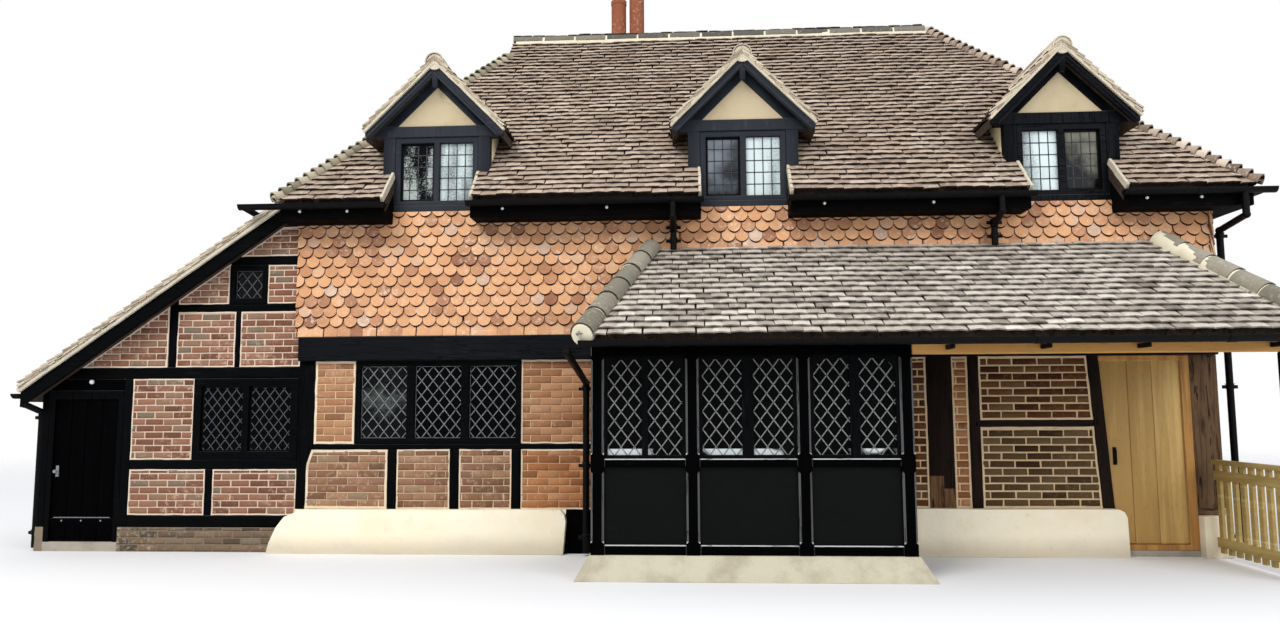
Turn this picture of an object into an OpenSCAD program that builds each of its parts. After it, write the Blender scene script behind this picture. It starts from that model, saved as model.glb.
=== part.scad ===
// Half timbered house: brick and timber ground storey, tile-hung upper wall,
// hipped roof with gablets and three dormers, side outshot and a pent roof over bay and porch.
// Millimetres. Origin at ground level in the middle of the main block. Front faces -Y.

/* [Main block] */
// Length of the main block along the front
house_l = 9670; // [9200:10:10400]
// Depth of the main block from front to rear
house_d = 5200; // [4800:10:5800]
// Thickness of the framed walls
wall_t = 180; // [150:5:220]
// Width of the corner posts
post_w = 180; // [150:5:210]
// Top of the beams that carry the upper storey
beam_top = 2310; // [2270:5:2400]
// Height of those beams
beam_h = 265; // [240:5:290]
// How far the front beam stands proud of the wall
beam_out = 60; // [30:5:90]
// Thickness of the brick filling between the timbers
infill_t = 110; // [80:5:130]
// How far the brick filling is set back from the timber faces
infill_back = 12; // [5:1:30]
// Top of the ground floor
floor_z = 100; // [60:5:120]
// Thickness of the upper floor
upper_floor_t = 180; // [120:5:220]

/* [Base] */
// Height of the brick base under the sole plates
base_h = 260; // [200:5:280]
// Height of the sole plates
sole_h = 130; // [100:5:150]
// Height of the rendered plinths at the front
plinth_h = 460; // [420:5:500]
// How far the rendered plinths stand out
plinth_out = 100; // [60:5:140]
// Height of the pad under the right corner post
pad_h = 410; // [360:5:430]
// Height of the oak block on that pad
pad_block_h = 70; // [50:5:90]

/* [Front frame] */
// Underside of the rail below the windows
rail_z = 1090; // [1000:5:1140]
// Height of that rail
rail_h = 60; // [50:5:90]
// Left edge of the main window, from the left end
win_left = 630; // [560:5:700]
// Width of the main window
win_w = 1817; // [1600:1:1900]
// Width of the slim studs under the main window
stud_w = 100; // [70:5:120]
// Distance of the first slim stud from the window's left edge
front_stud1_in = 371; // [340:1:420]
// Distance of the second slim stud from the window's left edge
front_stud2_in = 1050; // [1000:1:1100]
// Left edge of the dark oak post right of the bay, from the right end
dark_post_in = 2944; // [2900:1:3000]
// Width of the dark oak post
dark_post_w = 262; // [220:1:280]
// Width of the brick strip between the dark post and the next stud
strip_w = 164; // [120:1:200]
// Width of the stud beside the large brick panel
panel_stud_w = 112; // [90:1:130]
// Underside of the rail across the large brick panel
panel_rail_z = 1312; // [1250:1:1400]
// Left edge of the leaning stud's head, from the right end
lean_in = 1300; // [1260:5:1330]
// Width of the leaning stud beside the door
lean_w = 117; // [90:1:125]
// How far the leaning stud's foot stands to the right of its head
lean_shift = 90; // [0:5:100]

/* [Upper storey and roof] */
// Top of the upper walls
wall_top = 3680; // [3640:5:3720]
// Roof deck height at its lower edge
eaves_z = 3740; // [3720:5:3800]
// Distance of the tile edge in front of the wall
eaves_out = 350; // [300:5:400]
// Distance of the tile edge beyond the left end
left_out = 160; // [140:5:200]
// Distance of the tile edge beyond the right end
right_out = 330; // [280:5:370]
// Height of the roof deck at the ridge
ridge_z = 6680; // [6500:10:6900]
// Height of the foot of the left gablet
left_gablet_z = 6300; // [6000:10:6400]
// Distance of the left gablet from the left end
left_gablet_in = 1855; // [1600:5:2000]
// Height of the foot of the right gablet
right_gablet_z = 6400; // [6100:10:6450]
// Distance of the right gablet from the right end
right_gablet_in = 1960; // [1800:10:2200]
// How far the head of the right gablet leans back from its foot
right_gablet_lean = 185; // [100:5:240]
// Thickness of the roof measured straight down
roof_tv = 180; // [150:5:200]
// How far the deck stops behind the tile edge
edge_back = 60; // [50:5:80]
// Underside of the boxed eaves
soffit_z = 3540; // [3480:5:3570]
// Thickness of the fascia boards
fascia_t = 30; // [20:1:40]
// Top of the fascia boards
fascia_top = 3715; // [3690:5:3725]

/* [Dormers] */
// Distance of the outer dormers' centres from the ends of the main block
dormer_in = 1455; // [1400:5:1700]
// Place of the middle dormer left or right of the centre
dormer_shift = 20; // [-40:5:80]
// Half width over the dormer posts
dormer_half = 597; // [560:1:640]
// Width of a dormer post
dormer_post = 132; // [110:1:150]
// Depth of a dormer post
dormer_post_d = 110; // [90:5:130]
// Height of the dormer sill
dormer_sill_h = 70; // [50:5:90]
// Underside of the tie beam
tie_z = 4525; // [4480:5:4600]
// Height of the tie beam
tie_h = 125; // [100:5:140]
// Half length of the tie beam
tie_half = 690; // [650:5:720]
// Height of the dormer roof deck at its ridge
dormer_ridge_z = 5340; // [5250:5:5450]
// Half width of the dormer roof
dormer_roof_half = 770; // [730:5:800]
// Rise of the dormer roof over that half width
dormer_rise = 770; // [700:5:800]
// Thickness of the dormer roof measured straight down
dormer_tv = 100; // [80:5:120]
// How far the dormer roof stands in front of the wall
verge_out = 120; // [90:5:160]
// Thickness of the bargeboards
board_t = 40; // [25:1:50]
// Height of the bargeboards measured straight down
board_h = 140; // [120:5:200]
// Depth of the gable rafters measured straight down from the deck
rafter_h = 240; // [225:5:280]
// Thickness of the rendered cheeks and gable panels
cheek_t = 60; // [50:1:90]

/* [Chimney] */
// Place of the stack left of the centre
stack_x = -1482; // [-1700:1:-1300]
// Place of the stack behind the ridge
stack_y = 1000; // [900:10:1150]
// Width of the stack
stack_w = 760; // [680:10:840]
// Depth of the stack
stack_d = 520; // [460:10:600]
// Height of the stack's shaft
stack_top = 6940; // [6850:10:7100]
// Height of each oversailing cap course
cap_h = 60; // [45:5:80]
// Gap left round the stack where it passes a floor or the roof
flue_gap = 20; // [10:1:40]
// Distance between the pots
pot_gap = 275; // [240:5:320]
// Heights of the two pots
short_pot_h = 650; // [560:10:740]
tall_pot_h = 890; // [760:10:960]
// Radius of a pot at its foot
pot_r = 118; // [100:1:125]

/* [Outshot] */
// Length of the outshot beyond the left end
out_l = 2900; // [2700:10:3100]
// Width of the outshot's outer corner post, and thickness of its outer wall
out_post_w = 90; // [80:5:110]
// Deck height at the outshot's eave
out_eave_z = 1767; // [1740:1:1800]
// How far the eave stands beyond the outshot wall
out_eave_out = 110; // [90:5:150]
// Rise of the outshot roof for each unit of run
out_pitch = 0.692; // [0.68:0.002:0.7]
// Thickness of the outshot roof measured straight down
out_tv = 150; // [120:5:165]
// How far the outshot roof stands in front of the walls
out_verge = 200; // [150:5:240]
// Height of the outshot's bargeboards measured straight down
out_board_h = 210; // [180:5:240]
// Underside of the outshot's lower rail
out_rail_z = 880; // [840:5:920]
// Height of the outshot's lower rail
out_rail_h = 105; // [90:5:120]
// Underside of the outshot's cross beam
out_beam_z = 1865; // [1840:5:1900]
// Height of the cross beam and the rails above it
out_beam_h = 125; // [110:5:135]
// Underside of the rail at the small window's foot
out_mid_z = 2600; // [2570:5:2630]
// Height of that rail
out_mid_h = 86; // [70:2:100]
// Underside of the top rail
out_top_z = 3116; // [3090:2:3130]
// Height of the top rail
out_top_h = 99; // [80:1:110]
// Width of the outshot's window, which stands against the main block
out_win_w = 1173; // [1100:1:1250]
// Distance of the long upper stud from the main block
out_stud_in = 1494; // [1400:1:1560]
// Distance of the short upper stud from the main block
out_short_stud_in = 738; // [700:1:800]
// Distance of the stud below the window from the main block
out_low_stud_in = 1017; // [950:1:1080]
// Width of that stud
out_low_stud_w = 85; // [70:1:100]
// Distance of the small upper window's left edge from the main block
small_win_in = 818; // [780:1:860]
// Width of the small upper window
small_win_w = 431; // [400:1:460]

/* [Bay and pent roof] */
// Left face of the bay
bay_x0 = -1482; // [-1520:1:-1450]
// Right face of the bay
bay_x1 = 1420; // [1380:1:1460]
// Distance of the bay front from the wall
bay_out = 1400; // [1250:10:1500]
// Section of the bay posts
bay_post = 120; // [100:1:130]
// Left edge of the left middle bay post
bay_mid1 = -618; // [-670:1:-570]
// Left edge of the right middle bay post
bay_mid2 = 385; // [330:1:430]
// Height of the stone base under the bay
bay_base_h = 210; // [180:5:230]
// Spread of the stone base at the ground
bay_base_out = 140; // [100:5:180]
// Height of the bay's base rail
bay_rail_h = 90; // [70:5:100]
// Top of the bay's window sill
bay_sill_z = 1065; // [1020:5:1100]
// Height of the bay's window sill
bay_sill_h = 75; // [60:5:90]
// Underside of the bay's head beam and of the porch beam
bay_head_z = 1995; // [1960:5:2010]
// Distance of the pent roof's edge from the wall
pent_out = 1650; // [1600:10:1720]
// Deck height at the pent roof's edge
pent_eave_z = 2150; // [2130:5:2170]
// Deck height where the pent roof meets the wall
pent_top_z = 3220; // [3120:5:3300]
// Left end of the pent roof's edge
pent_x0 = -1545; // [-1590:1:-1535]
// Distance of the pent roof's right end beyond the house
pent_right_out = 60; // [20:5:120]
// Inset of the pent roof's top at each end
pent_in = 575; // [500:5:650]
// Thickness of the pent roof measured straight down
pent_tv = 110; // [90:5:120]
// Width of the porch post
porch_post_w = 120; // [100:5:140]
// Height of the oak side rail
side_rail_h = 980; // [900:10:1050]

/* [Doors] */
// Width of the right front corner post, where the oak door frame begins
oak_post_w = 270; // [240:1:290]
// Width of the oak frame's jamb
oak_jamb = 80; // [60:1:95]
// Height of the oak frame's head
oak_head_h = 45; // [35:1:60]
// Top of the oak door's threshold
threshold_z = 120; // [105:1:130]
// Thickness of the door leaves
leaf_t = 45; // [35:1:50]
// Gap round the door leaves
leaf_gap = 6; // [5:0.5:8]
// Clear width between the outshot door posts
out_door_w = 840; // [800:5:880]
// Top of the outshot door opening
out_door_top = 1660; // [1600:5:1680]
// Width of the outshot door's frame
out_jamb = 45; // [35:1:50]

/* [Windows and gutters] */
// Width of the window frame members
frame_w = 60; // [45:1:70]
// Width of the mullions
mullion_w = 88; // [60:1:100]
// Depth of the window frames
frame_d = 100; // [80:5:120]
// Thickness of the glass
glass_t = 8; // [6:1:10]
// Radius of the gutters
gutter_r = 56; // [45:1:62]
// Thickness of the gutter's wall
gutter_t = 5; // [4:0.5:8]
// Diameter of the downpipes
pipe_d = 68; // [60:1:75]

/* [Hidden] */
$fn = 32;
hx = house_l / 2;
hy = house_d / 2;
beam_z = beam_top - beam_h;
far = 12000;
eave_y = hy + eaves_out;
pitch = (ridge_z - eaves_z) / eave_y;
left_x = -hx - left_out;
right_x = hx + right_out;
left_gablet_x = -hx + left_gablet_in;
right_gablet_x = hx - right_gablet_in;
ridge_end_x = right_gablet_x - right_gablet_lean;
left_gablet_y = (ridge_z - left_gablet_z) / pitch;
right_gablet_y = (ridge_z - right_gablet_z) / pitch;
left_pitch = (left_gablet_z - eaves_z) / (left_gablet_x - left_x);
right_pitch = (right_gablet_z - eaves_z) / (right_x - right_gablet_x);
dormer_x = [for (i = [-1:1]) dormer_shift + i * (hx - dormer_in)];
dormer_pitch = dormer_rise / dormer_roof_half;
gap_half = dormer_half - dormer_post;
cheek_back = 35;
dormer_sill_z = wall_top + dormer_sill_h;
verge_y = -hy - verge_out;
out_x = -hx - out_l;
out_eave_x = out_x - out_eave_out;
out_top_x = left_x + edge_back - fascia_t;
out_door_x0 = out_x + out_post_w;
out_door_x1 = out_door_x0 + out_door_w;
out_door_post = 100;
out_clear_x = out_door_x1 + out_door_post;
out_win_x = -hx - out_win_w;
out_stud1 = -hx - out_stud_in;
out_stud2 = -hx - out_short_stud_in;
out_low_stud = -hx - out_low_stud_in;
small_stud_w = 61;
small_win_x0 = -hx - small_win_in;
small_win_x1 = small_win_x0 + small_win_w;
small_win_z = out_mid_z + out_mid_h;
bay_y = -hy - bay_out;
pent_y = -hy - pent_out;
pent_x1 = hx + pent_right_out;
pent_pitch = (pent_top_z - pent_eave_z) / pent_out;
pent_end_back = 30;
bay_starts = [bay_x0, bay_mid1, bay_mid2, bay_x1 - bay_post];
bay_wall_post = 120;
dormer_foot_z = dormer_ridge_z - dormer_rise;
pot_wall = 34;
ridge_joint = 5;
seat_gap = 0.5;
joint_gap = 5;
bay_frame_d = 55;
bay_window_in = 25;
bay_rail_in = 10;
bay_panel_in = 45;
bay_panel_t = 25;
bay_panel_z = bay_base_h + bay_rail_h;
bay_plate_h = 130;
bay_side_run = bay_out - bay_post - bay_wall_post;
bay_border = 32;
bay_mullions = [56, 103, 86];
spandrel_r = 150;
out_border = 85;
pent_gutter_z = pent_eave_z - 30;
gutter_drop = 10;
gutter_left_out = 390;
gutter_right_out = 180;
gutter_past_dormer = 30;
upper_gutter_y = -eave_y + edge_back - fascia_t - gutter_r;
upper_gutter_z = fascia_top - gutter_drop;
end_gutter_x = right_x - edge_back + fascia_t + gutter_r;
pent_gutter_y = pent_y + edge_back - gutter_r;
out_gutter_x = out_eave_x - gutter_r;
out_gutter_z = out_eave_z - 60;
elbow_extra = 10;
upper_pipe_x = [-740, 2620];
board_foot = 60;
pendant_w = 60;
pendant_h = 280;
cap_steps = [0, 30, 55];
cap_r = 110;
dormer_back = -eave_y + (dormer_ridge_z + cap_r - eaves_z) / pitch;
win_x = -hx + win_left;
dark_x = hx - dark_post_in;
strip_x = dark_x + dark_post_w;
panel_x = strip_x + strip_w + panel_stud_w;
oak_x1 = hx - oak_post_w;
right_plinth_h = plinth_h + 20;
lean_x = hx - lean_in;
lean_slope = lean_shift / (beam_z - right_plinth_h);
base_x1 = lean_x + lean_w + lean_shift;
front_stud_x = [win_x + front_stud1_in, win_x + front_stud2_in, win_x + win_w - stud_w];
corner_foot_w = 100;
plinth_past_window = 500;
plinth_left_out = 265;
boarding_in = 300;
out_mullion = 70;
sole_top = base_h + sole_h;
porch_post_x = hx - oak_post_w / 2 - porch_post_w / 2;
back_bays = 6;
back_pitch = (house_l - post_w) / back_bays;
end_bays = 3;
back_windows = [1, 4];
end_windows = [1];
end_run = house_d - 2 * wall_t;
end_pitch = (end_run + post_w) / end_bays;
back_win_w = floor(back_pitch - post_w);
end_win_w = floor(end_pitch - post_w);
sill_z = floor_z - 40;
stop_t = 15;
free_gap = leaf_gap + 3;
door_frame_d = 120;
oak_handle_z = 1010;
handle_h = 130;
handle_d = 12;
handle_out = 46;
out_latch_z = 860;
out_head_h = 80;
oak_leaf_x1 = oak_x1 - oak_jamb - leaf_gap;
oak_leaf_z = threshold_z + leaf_gap;
oak_leaf_top = beam_z - oak_head_h - leaf_gap;
leaf_y = -hy + stop_t + leaf_gap;
out_leaf_x0 = out_door_x0 + out_jamb + free_gap;
out_leaf_x1 = out_door_x1 - out_jamb - leaf_gap;
eps = 1;

// Rectangular piece between two corners
module block(x0, x1, y0, y1, z0, z1) {
    translate([x0, y0, z0]) cube([x1 - x0, y1 - y0, z1 - z0]);
}

// Outline in x and z, solid from y0 to y1
module along_y(y0, y1) {
    translate([0, y1, 0]) rotate([90, 0, 0]) linear_extrude(y1 - y0) children();
}

// Outline in y and z, solid from x0 to x1
module along_x(x0, x1) {
    translate([x0, 0, 0]) rotate([90, 0, 90]) linear_extrude(x1 - x0) children();
}

// Heights of the roof decks
function front_deck(y) = eaves_z + (y + eave_y) * pitch;
function left_deck(x) = eaves_z + (x - left_x) * left_pitch;
function right_deck(x) = eaves_z + (right_x - x) * right_pitch;
function outshot_deck(x) = out_eave_z + (x - out_eave_x) * out_pitch;
function pent_deck(y) = pent_eave_z + (y - pent_y) * pent_pitch;

// Everything below the undersides of the main roof
module under_main_roof() {
    drop = roof_tv + seat_gap;
    intersection() {
        along_x(-far, far) polygon([
            [-far, front_deck(-far) - drop], [0, ridge_z - drop], [far, front_deck(-far) - drop],
            [far, -far], [-far, -far]]);
        along_y(-far, far) polygon([
            [-far, left_deck(-far) - drop], [left_gablet_x, left_gablet_z - drop],
            [left_gablet_x, far], [ridge_end_x, far], [ridge_end_x, ridge_z - drop],
            [right_gablet_x, right_gablet_z - drop],
            [far, right_deck(far) - drop], [far, -far], [-far, -far]]);
    }
}

// Everything below the underside of the outshot roof
module under_outshot_roof() {
    drop = out_tv + seat_gap;
    along_y(-far, far) polygon([
        [-far, outshot_deck(-far) - drop], [-hx, outshot_deck(-hx) - drop], [-hx, -far], [-far, -far]]);
}

// Everything above the front slope of the main roof
module above_front_slope() {
    along_x(-far, far) polygon([
        [-far, front_deck(-far) + seat_gap], [0, ridge_z + seat_gap], [0, far], [-far, far]]);
}

// Everything below the underside of a dormer's roof
module under_dormer_roof(drop) {
    top = dormer_ridge_z - drop - seat_gap;
    along_y(-far, far) polygon([[0, top], [far, top - far * dormer_pitch],
        [far, -far], [-far, -far], [-far, top - far * dormer_pitch]]);
}

// Everything below the underside of the pent roof
module under_pent() {
    drop = pent_tv + seat_gap;
    intersection() {
        along_x(-far, far) polygon([
            [pent_y, pent_eave_z - drop], [-hy, pent_top_z - drop], [-hy, -far], [pent_y, -far]]);
        along_y(-far, far) polygon([
            [pent_x0, pent_eave_z - drop], [pent_x0 + pent_in, pent_top_z - drop],
            [pent_x1 - pent_in, pent_top_z - drop], [pent_x1, pent_eave_z - drop],
            [pent_x1, -far], [pent_x0, -far]]);
    }
}

// A framed window with equal lights, its outer face at y
module window_frame(x0, x1, z0, z1, lights, y, border, mullion, depth = frame_d) {
    light_w = (x1 - x0 - 2 * border - (lights - 1) * mullion) / lights;
    difference() {
        block(x0, x1, y, y + depth, z0, z1);
        for (i = [0:lights - 1])
            translate([x0 + border + i * (light_w + mullion), y - eps, z0 + border])
                cube([light_w, depth + 2 * eps, z1 - z0 - 2 * border]);
    }
}

// The panes of such a window
module window_panes(x0, x1, z0, z1, lights, y, border, mullion, depth = frame_d) {
    light_w = (x1 - x0 - 2 * border - (lights - 1) * mullion) / lights;
    for (i = [0:lights - 1])
        translate([x0 + border + i * (light_w + mullion), y + (depth - glass_t) / 2, z0 + border])
            cube([light_w, glass_t, z1 - z0 - 2 * border]);
}

// Straight round pipe between two points
module pipe(p, q, d) {
    v = q - p;
    run = norm(v);
    translate(p) rotate([0, acos(v[2] / run), atan2(v[1], v[0])]) cylinder(h = run, d = d);
}

// Downpipe through a list of points, with a rounded elbow at each bend
module downpipe(points) {
    last = len(points) - 1;
    for (i = [0:last - 1]) pipe(points[i], points[i + 1], pipe_d);
    for (i = [1:last - 1]) translate(points[i]) sphere(d = pipe_d + elbow_extra);
}

// Half round gutter with closed ends, its back at y, running from x0 to x1, top at z
module gutter_run(x0, x1, z) {
    translate([x0, 0, z]) rotate([90, 0, 90]) difference() {
        linear_extrude(x1 - x0) intersection() {
            circle(gutter_r);
            translate([-gutter_r, -gutter_r]) square([2 * gutter_r, gutter_r]);
        }
        translate([0, 0, gutter_t]) linear_extrude(x1 - x0 - 2 * gutter_t) circle(gutter_r - gutter_t);
    }
}

// Ground floor: main room, outshot and bay, each a slab inside its own walls
module ground_floor() {
    color("gray") {
        block(-hx + wall_t, hx - wall_t, -hy + wall_t, hy - wall_t, 0, floor_z);
        block(base_x1, oak_x1, -hy, -hy + wall_t, 0, sill_z);
        block(bay_x0 + bay_wall_post, bay_x1 - bay_wall_post, -hy, -hy + wall_t, 0, floor_z);
        block(out_x + out_post_w, -hx, -hy + wall_t, hy - wall_t, 0, floor_z);
        block(out_door_x0, out_door_x1, -hy, -hy + wall_t, 0, floor_z);
        block(bay_x0 + bay_post, bay_x1 - bay_post, bay_y + bay_post, -hy - joint_gap, 0, floor_z);
    }
}

// Brick base under the rear wall and the outshot's front wall
module brick_base() {
    color("sienna") {
        block(out_x, hx, hy - wall_t, hy, 0, base_h);
        block(out_door_x1, -hx, -hy, -hy + wall_t, 0, base_h);
        block(out_x, out_door_x0, -hy, -hy + wall_t, 0, base_h);
    }
}

// Brick bases under the right end, the wall beside the outshot and the outshot's outer wall
module end_bases() {
    color("sienna") {
        for (x = [-hx, hx - wall_t]) block(x, x + wall_t, -hy + wall_t, hy - wall_t, 0, base_h);
        block(out_x, out_x + out_post_w, -hy + wall_t, hy - wall_t, 0, base_h);
    }
}

// Rendered plinths: left and right of the bay, and the pad under the right corner post
module rendered_plinths() {
    left_end = win_x + win_w + plinth_past_window;
    face = -hy - plinth_out;
    color("bisque") {
        along_y(face, -hy) polygon([
            [-hx - plinth_left_out, 0], [-hx - plinth_left_out + 30, 120],
            [-hx - plinth_left_out + 100, 270], [-hx - plinth_left_out + 190, plinth_h - 75],
            [-hx + 60, plinth_h - 15], [-hx + 170, plinth_h], [left_end - 60, plinth_h],
            [left_end - 15, plinth_h - 50], [left_end, plinth_h - 120], [left_end - 30, 0]]);
        block(-hx, bay_x0 + bay_wall_post, -hy, -hy + wall_t, 0, plinth_h);
        along_y(face, -hy) polygon([
            [bay_x1, 0], [bay_x1, right_plinth_h], [base_x1 + 5, right_plinth_h],
            [base_x1 + 50, right_plinth_h - 25], [base_x1 + 75, right_plinth_h - 80],
            [base_x1 + 85, 0]]);
        block(bay_x1 - bay_wall_post, base_x1, -hy, -hy + wall_t, 0, right_plinth_h);
        block(oak_x1, hx, face, -hy + wall_t, 0, pad_h);
    }
}

// Stone base under the bay with battered faces, open towards the house
module bay_base() {
    out = bay_base_out;
    color("tan") difference() {
        intersection() {
            along_y(bay_y - out, -hy) polygon([
                [bay_x0 - out, 0], [bay_x0 - 15, bay_base_h], [bay_x1 + 15, bay_base_h],
                [bay_x1 + out, 0]]);
            along_x(bay_x0 - out, bay_x1 + out) polygon([
                [bay_y - out, 0], [bay_y - 15, bay_base_h], [-hy, bay_base_h], [-hy, 0]]);
        }
        block(bay_x0 + bay_post, bay_x1 - bay_post, bay_y + bay_post, far, -eps, far);
        block(bay_x1, far, -hy - plinth_out, far, -eps, far);
    }
}

// Left corner post of the front, cut back where its foot narrows
module left_corner_post() {
    along_y(-hy, -hy + wall_t) polygon([
        [-hx, plinth_h], [-hx + corner_foot_w, plinth_h], [-hx + corner_foot_w + 10, rail_z - 150],
        [-hx + post_w, rail_z + 60], [-hx + post_w, beam_z], [-hx, beam_z]]);
}

// Left edge of the leaning stud at height z
function lean_at(z) = lean_x + (beam_z - z) * lean_slope;

// Everything to the left of the leaning stud, and everything to the right of it
module left_of_stud() {
    along_y(-far, far) polygon([
        [lean_at(-far), -far], [lean_at(far), far], [-far, far], [-far, -far]]);
}
module right_of_stud(gap = 0) {
    along_y(-far, far) polygon([
        [lean_at(-far) + lean_w + gap, -far], [lean_at(far) + lean_w + gap, far], [far, far], [far, -far]]);
}

// Upright timbers of the front wall
module front_posts() {
    front_y = -hy;
    color("#1d1d20") {
        left_corner_post();
        for (x = front_stud_x) block(x, x + stud_w, front_y, front_y + wall_t, plinth_h, rail_z);
        block(bay_x0, bay_x0 + bay_wall_post, front_y, front_y + wall_t, plinth_h, beam_z);
        block(bay_x1 - bay_wall_post, bay_x1, front_y, front_y + wall_t, right_plinth_h, beam_z);
    }
    color("#4a2c1a") {
        block(dark_x, dark_x + dark_post_w, front_y, front_y + wall_t, right_plinth_h, beam_z);
        block(panel_x - panel_stud_w, panel_x, front_y, front_y + wall_t, right_plinth_h, beam_z);
        difference() {
            block(lean_x, base_x1, front_y, front_y + wall_t, right_plinth_h, beam_z);
            left_of_stud();
            right_of_stud();
        }
        block(oak_x1, hx, front_y, front_y + wall_t, pad_h + pad_block_h, beam_z);
    }
}

// Rails of the front wall
module front_rails() {
    color("#2b2420") {
        difference() {
            block(-hx, bay_x0, -hy, -hy + wall_t, rail_z, rail_z + rail_h);
            left_corner_post();
        }
        intersection() {
            block(panel_x, base_x1, -hy, -hy + wall_t, panel_rail_z, panel_rail_z + rail_h + 10);
            left_of_stud();
        }
        block(oak_x1, hx, -hy, -hy + wall_t, pad_h, pad_h + pad_block_h);
    }
}

// Brick filling of the front wall
module front_infill() {
    y0 = -hy + infill_back;
    y1 = y0 + infill_t;
    color("#9a5a3c") {
        difference() {
            block(-hx, bay_x0, y0, y1, plinth_h, rail_z);
            left_corner_post();
            for (x = front_stud_x) block(x, x + stud_w, -far, far, 0, far);
        }
        difference() {
            block(-hx, win_x, y0, y1, rail_z + rail_h, beam_z);
            left_corner_post();
        }
        block(win_x + win_w, bay_x0, y0, y1, rail_z + rail_h, beam_z);
        block(bay_x1, dark_x, y0, y1, right_plinth_h, beam_z);
        block(strip_x, strip_x + strip_w, y0, y1, right_plinth_h, beam_z);
        difference() {
            intersection() {
                block(panel_x, base_x1, y0, y1, right_plinth_h, beam_z);
                left_of_stud();
            }
            block(panel_x, far, -far, far, panel_rail_z, panel_rail_z + rail_h + 10);
        }
    }
}

// Left edge of a post in the rear wall
function back_x(i) = -hx + round(i * back_pitch);

// Front edge of a post in an end wall
function end_y(i) = -hy + wall_t - post_w + round(i * end_pitch);

// Upright timbers of the rear wall and the end walls
module back_posts() {
    color("#1d1d20") {
        for (i = [0, back_bays]) block(back_x(i), back_x(i) + post_w, hy - wall_t, hy, base_h, beam_z);
        for (i = [1:back_bays - 1])
            block(back_x(i), back_x(i) + post_w, hy - wall_t, hy, sole_top, beam_z);
        for (x = [-hx, hx - wall_t], i = [1:end_bays - 1])
            block(x, x + wall_t, end_y(i), end_y(i) + post_w, sole_top, beam_z);
    }
}

// Sole plates and rails of the rear wall and the end walls
module back_rails() {
    color("#1d1d20") {
        block(back_x(0) + post_w, back_x(back_bays), hy - wall_t + joint_gap, hy, base_h, sole_top);
        for (i = [0:back_bays - 1])
            block(back_x(i) + post_w, back_x(i + 1), hy - wall_t + joint_gap, hy, rail_z, rail_z + rail_h);
        for (x = [-hx, hx - wall_t]) {
            block(x, x + wall_t, -hy + wall_t, hy - wall_t, base_h, sole_top);
            for (i = [0:end_bays - 1])
                block(x, x + wall_t, end_y(i) + post_w, end_y(i + 1), rail_z, rail_z + rail_h);
        }
    }
}

// Brick filling of the rear wall and the end walls
module back_infill() {
    y1 = hy - infill_back;
    color("#9a5a3c") {
        for (i = [0:back_bays - 1]) {
            block(back_x(i) + post_w, back_x(i + 1), y1 - infill_t, y1, sole_top, rail_z);
            if (len(search(i, back_windows)) == 0)
                block(back_x(i) + post_w, back_x(i + 1), y1 - infill_t, y1, rail_z + rail_h, beam_z);
        }
        for (x = [-hx + infill_back, hx - infill_back - infill_t], i = [0:end_bays - 1]) {
            block(x, x + infill_t, end_y(i) + post_w, end_y(i + 1), sole_top, rail_z);
            if (x < 0 || len(search(i, end_windows)) == 0)
                block(x, x + infill_t, end_y(i) + post_w, end_y(i + 1), rail_z + rail_h, beam_z);
        }
    }
}

// Long beams over the front and rear walls
module bressummers() {
    color("#16181c") {
        block(-hx, hx, -hy - beam_out, -hy + wall_t, beam_z, beam_top);
        block(-hx, hx, hy - wall_t, hy + beam_out, beam_z, beam_top);
    }
}

// Space that the front beam takes in front of the wall
module front_beam_space() {
    block(-far, far, -hy - beam_out, -hy, beam_z, beam_top);
}

// Beams over the end walls
module end_beams() {
    color("#16181c") for (x = [-hx, hx - wall_t])
        block(x, x + wall_t, -hy + wall_t, hy - wall_t, beam_z, beam_top);
}

// Solid for the outshot's front wall, cut by its roof and repeated at the rear
module outshot_wall(both = true) {
    intersection() {
        union() {
            children();
            if (both) mirror([0, 1, 0]) children();
        }
        under_outshot_roof();
        block(-far, far, -far, far, -far, soffit_z);
    }
}

// Upright timbers of the outshot
module outshot_posts() {
    y0 = -hy;
    y1 = -hy + wall_t;
    color("#1d1d20") {
        outshot_wall() {
            block(out_x, out_door_x0, y0, y1, base_h, far);
        }
        outshot_wall(false) {
            block(out_door_x1, out_clear_x, y0, y1, base_h, out_beam_z);
        }
        outshot_wall() {
            block(out_stud1, out_stud1 + stud_w, y0, y1, out_beam_z + out_beam_h, far);
            block(out_stud2, out_stud2 + small_stud_w, y0, y1, out_beam_z + out_beam_h, out_mid_z);
            block(out_low_stud, out_low_stud + out_low_stud_w, y0, y1, sole_top, out_rail_z);
        }
        for (i = [1:end_bays - 1]) intersection() {
            block(out_x, out_x + out_post_w, end_y(i), end_y(i) + post_w, sole_top, far);
            under_outshot_roof();
        }
    }
}

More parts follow.
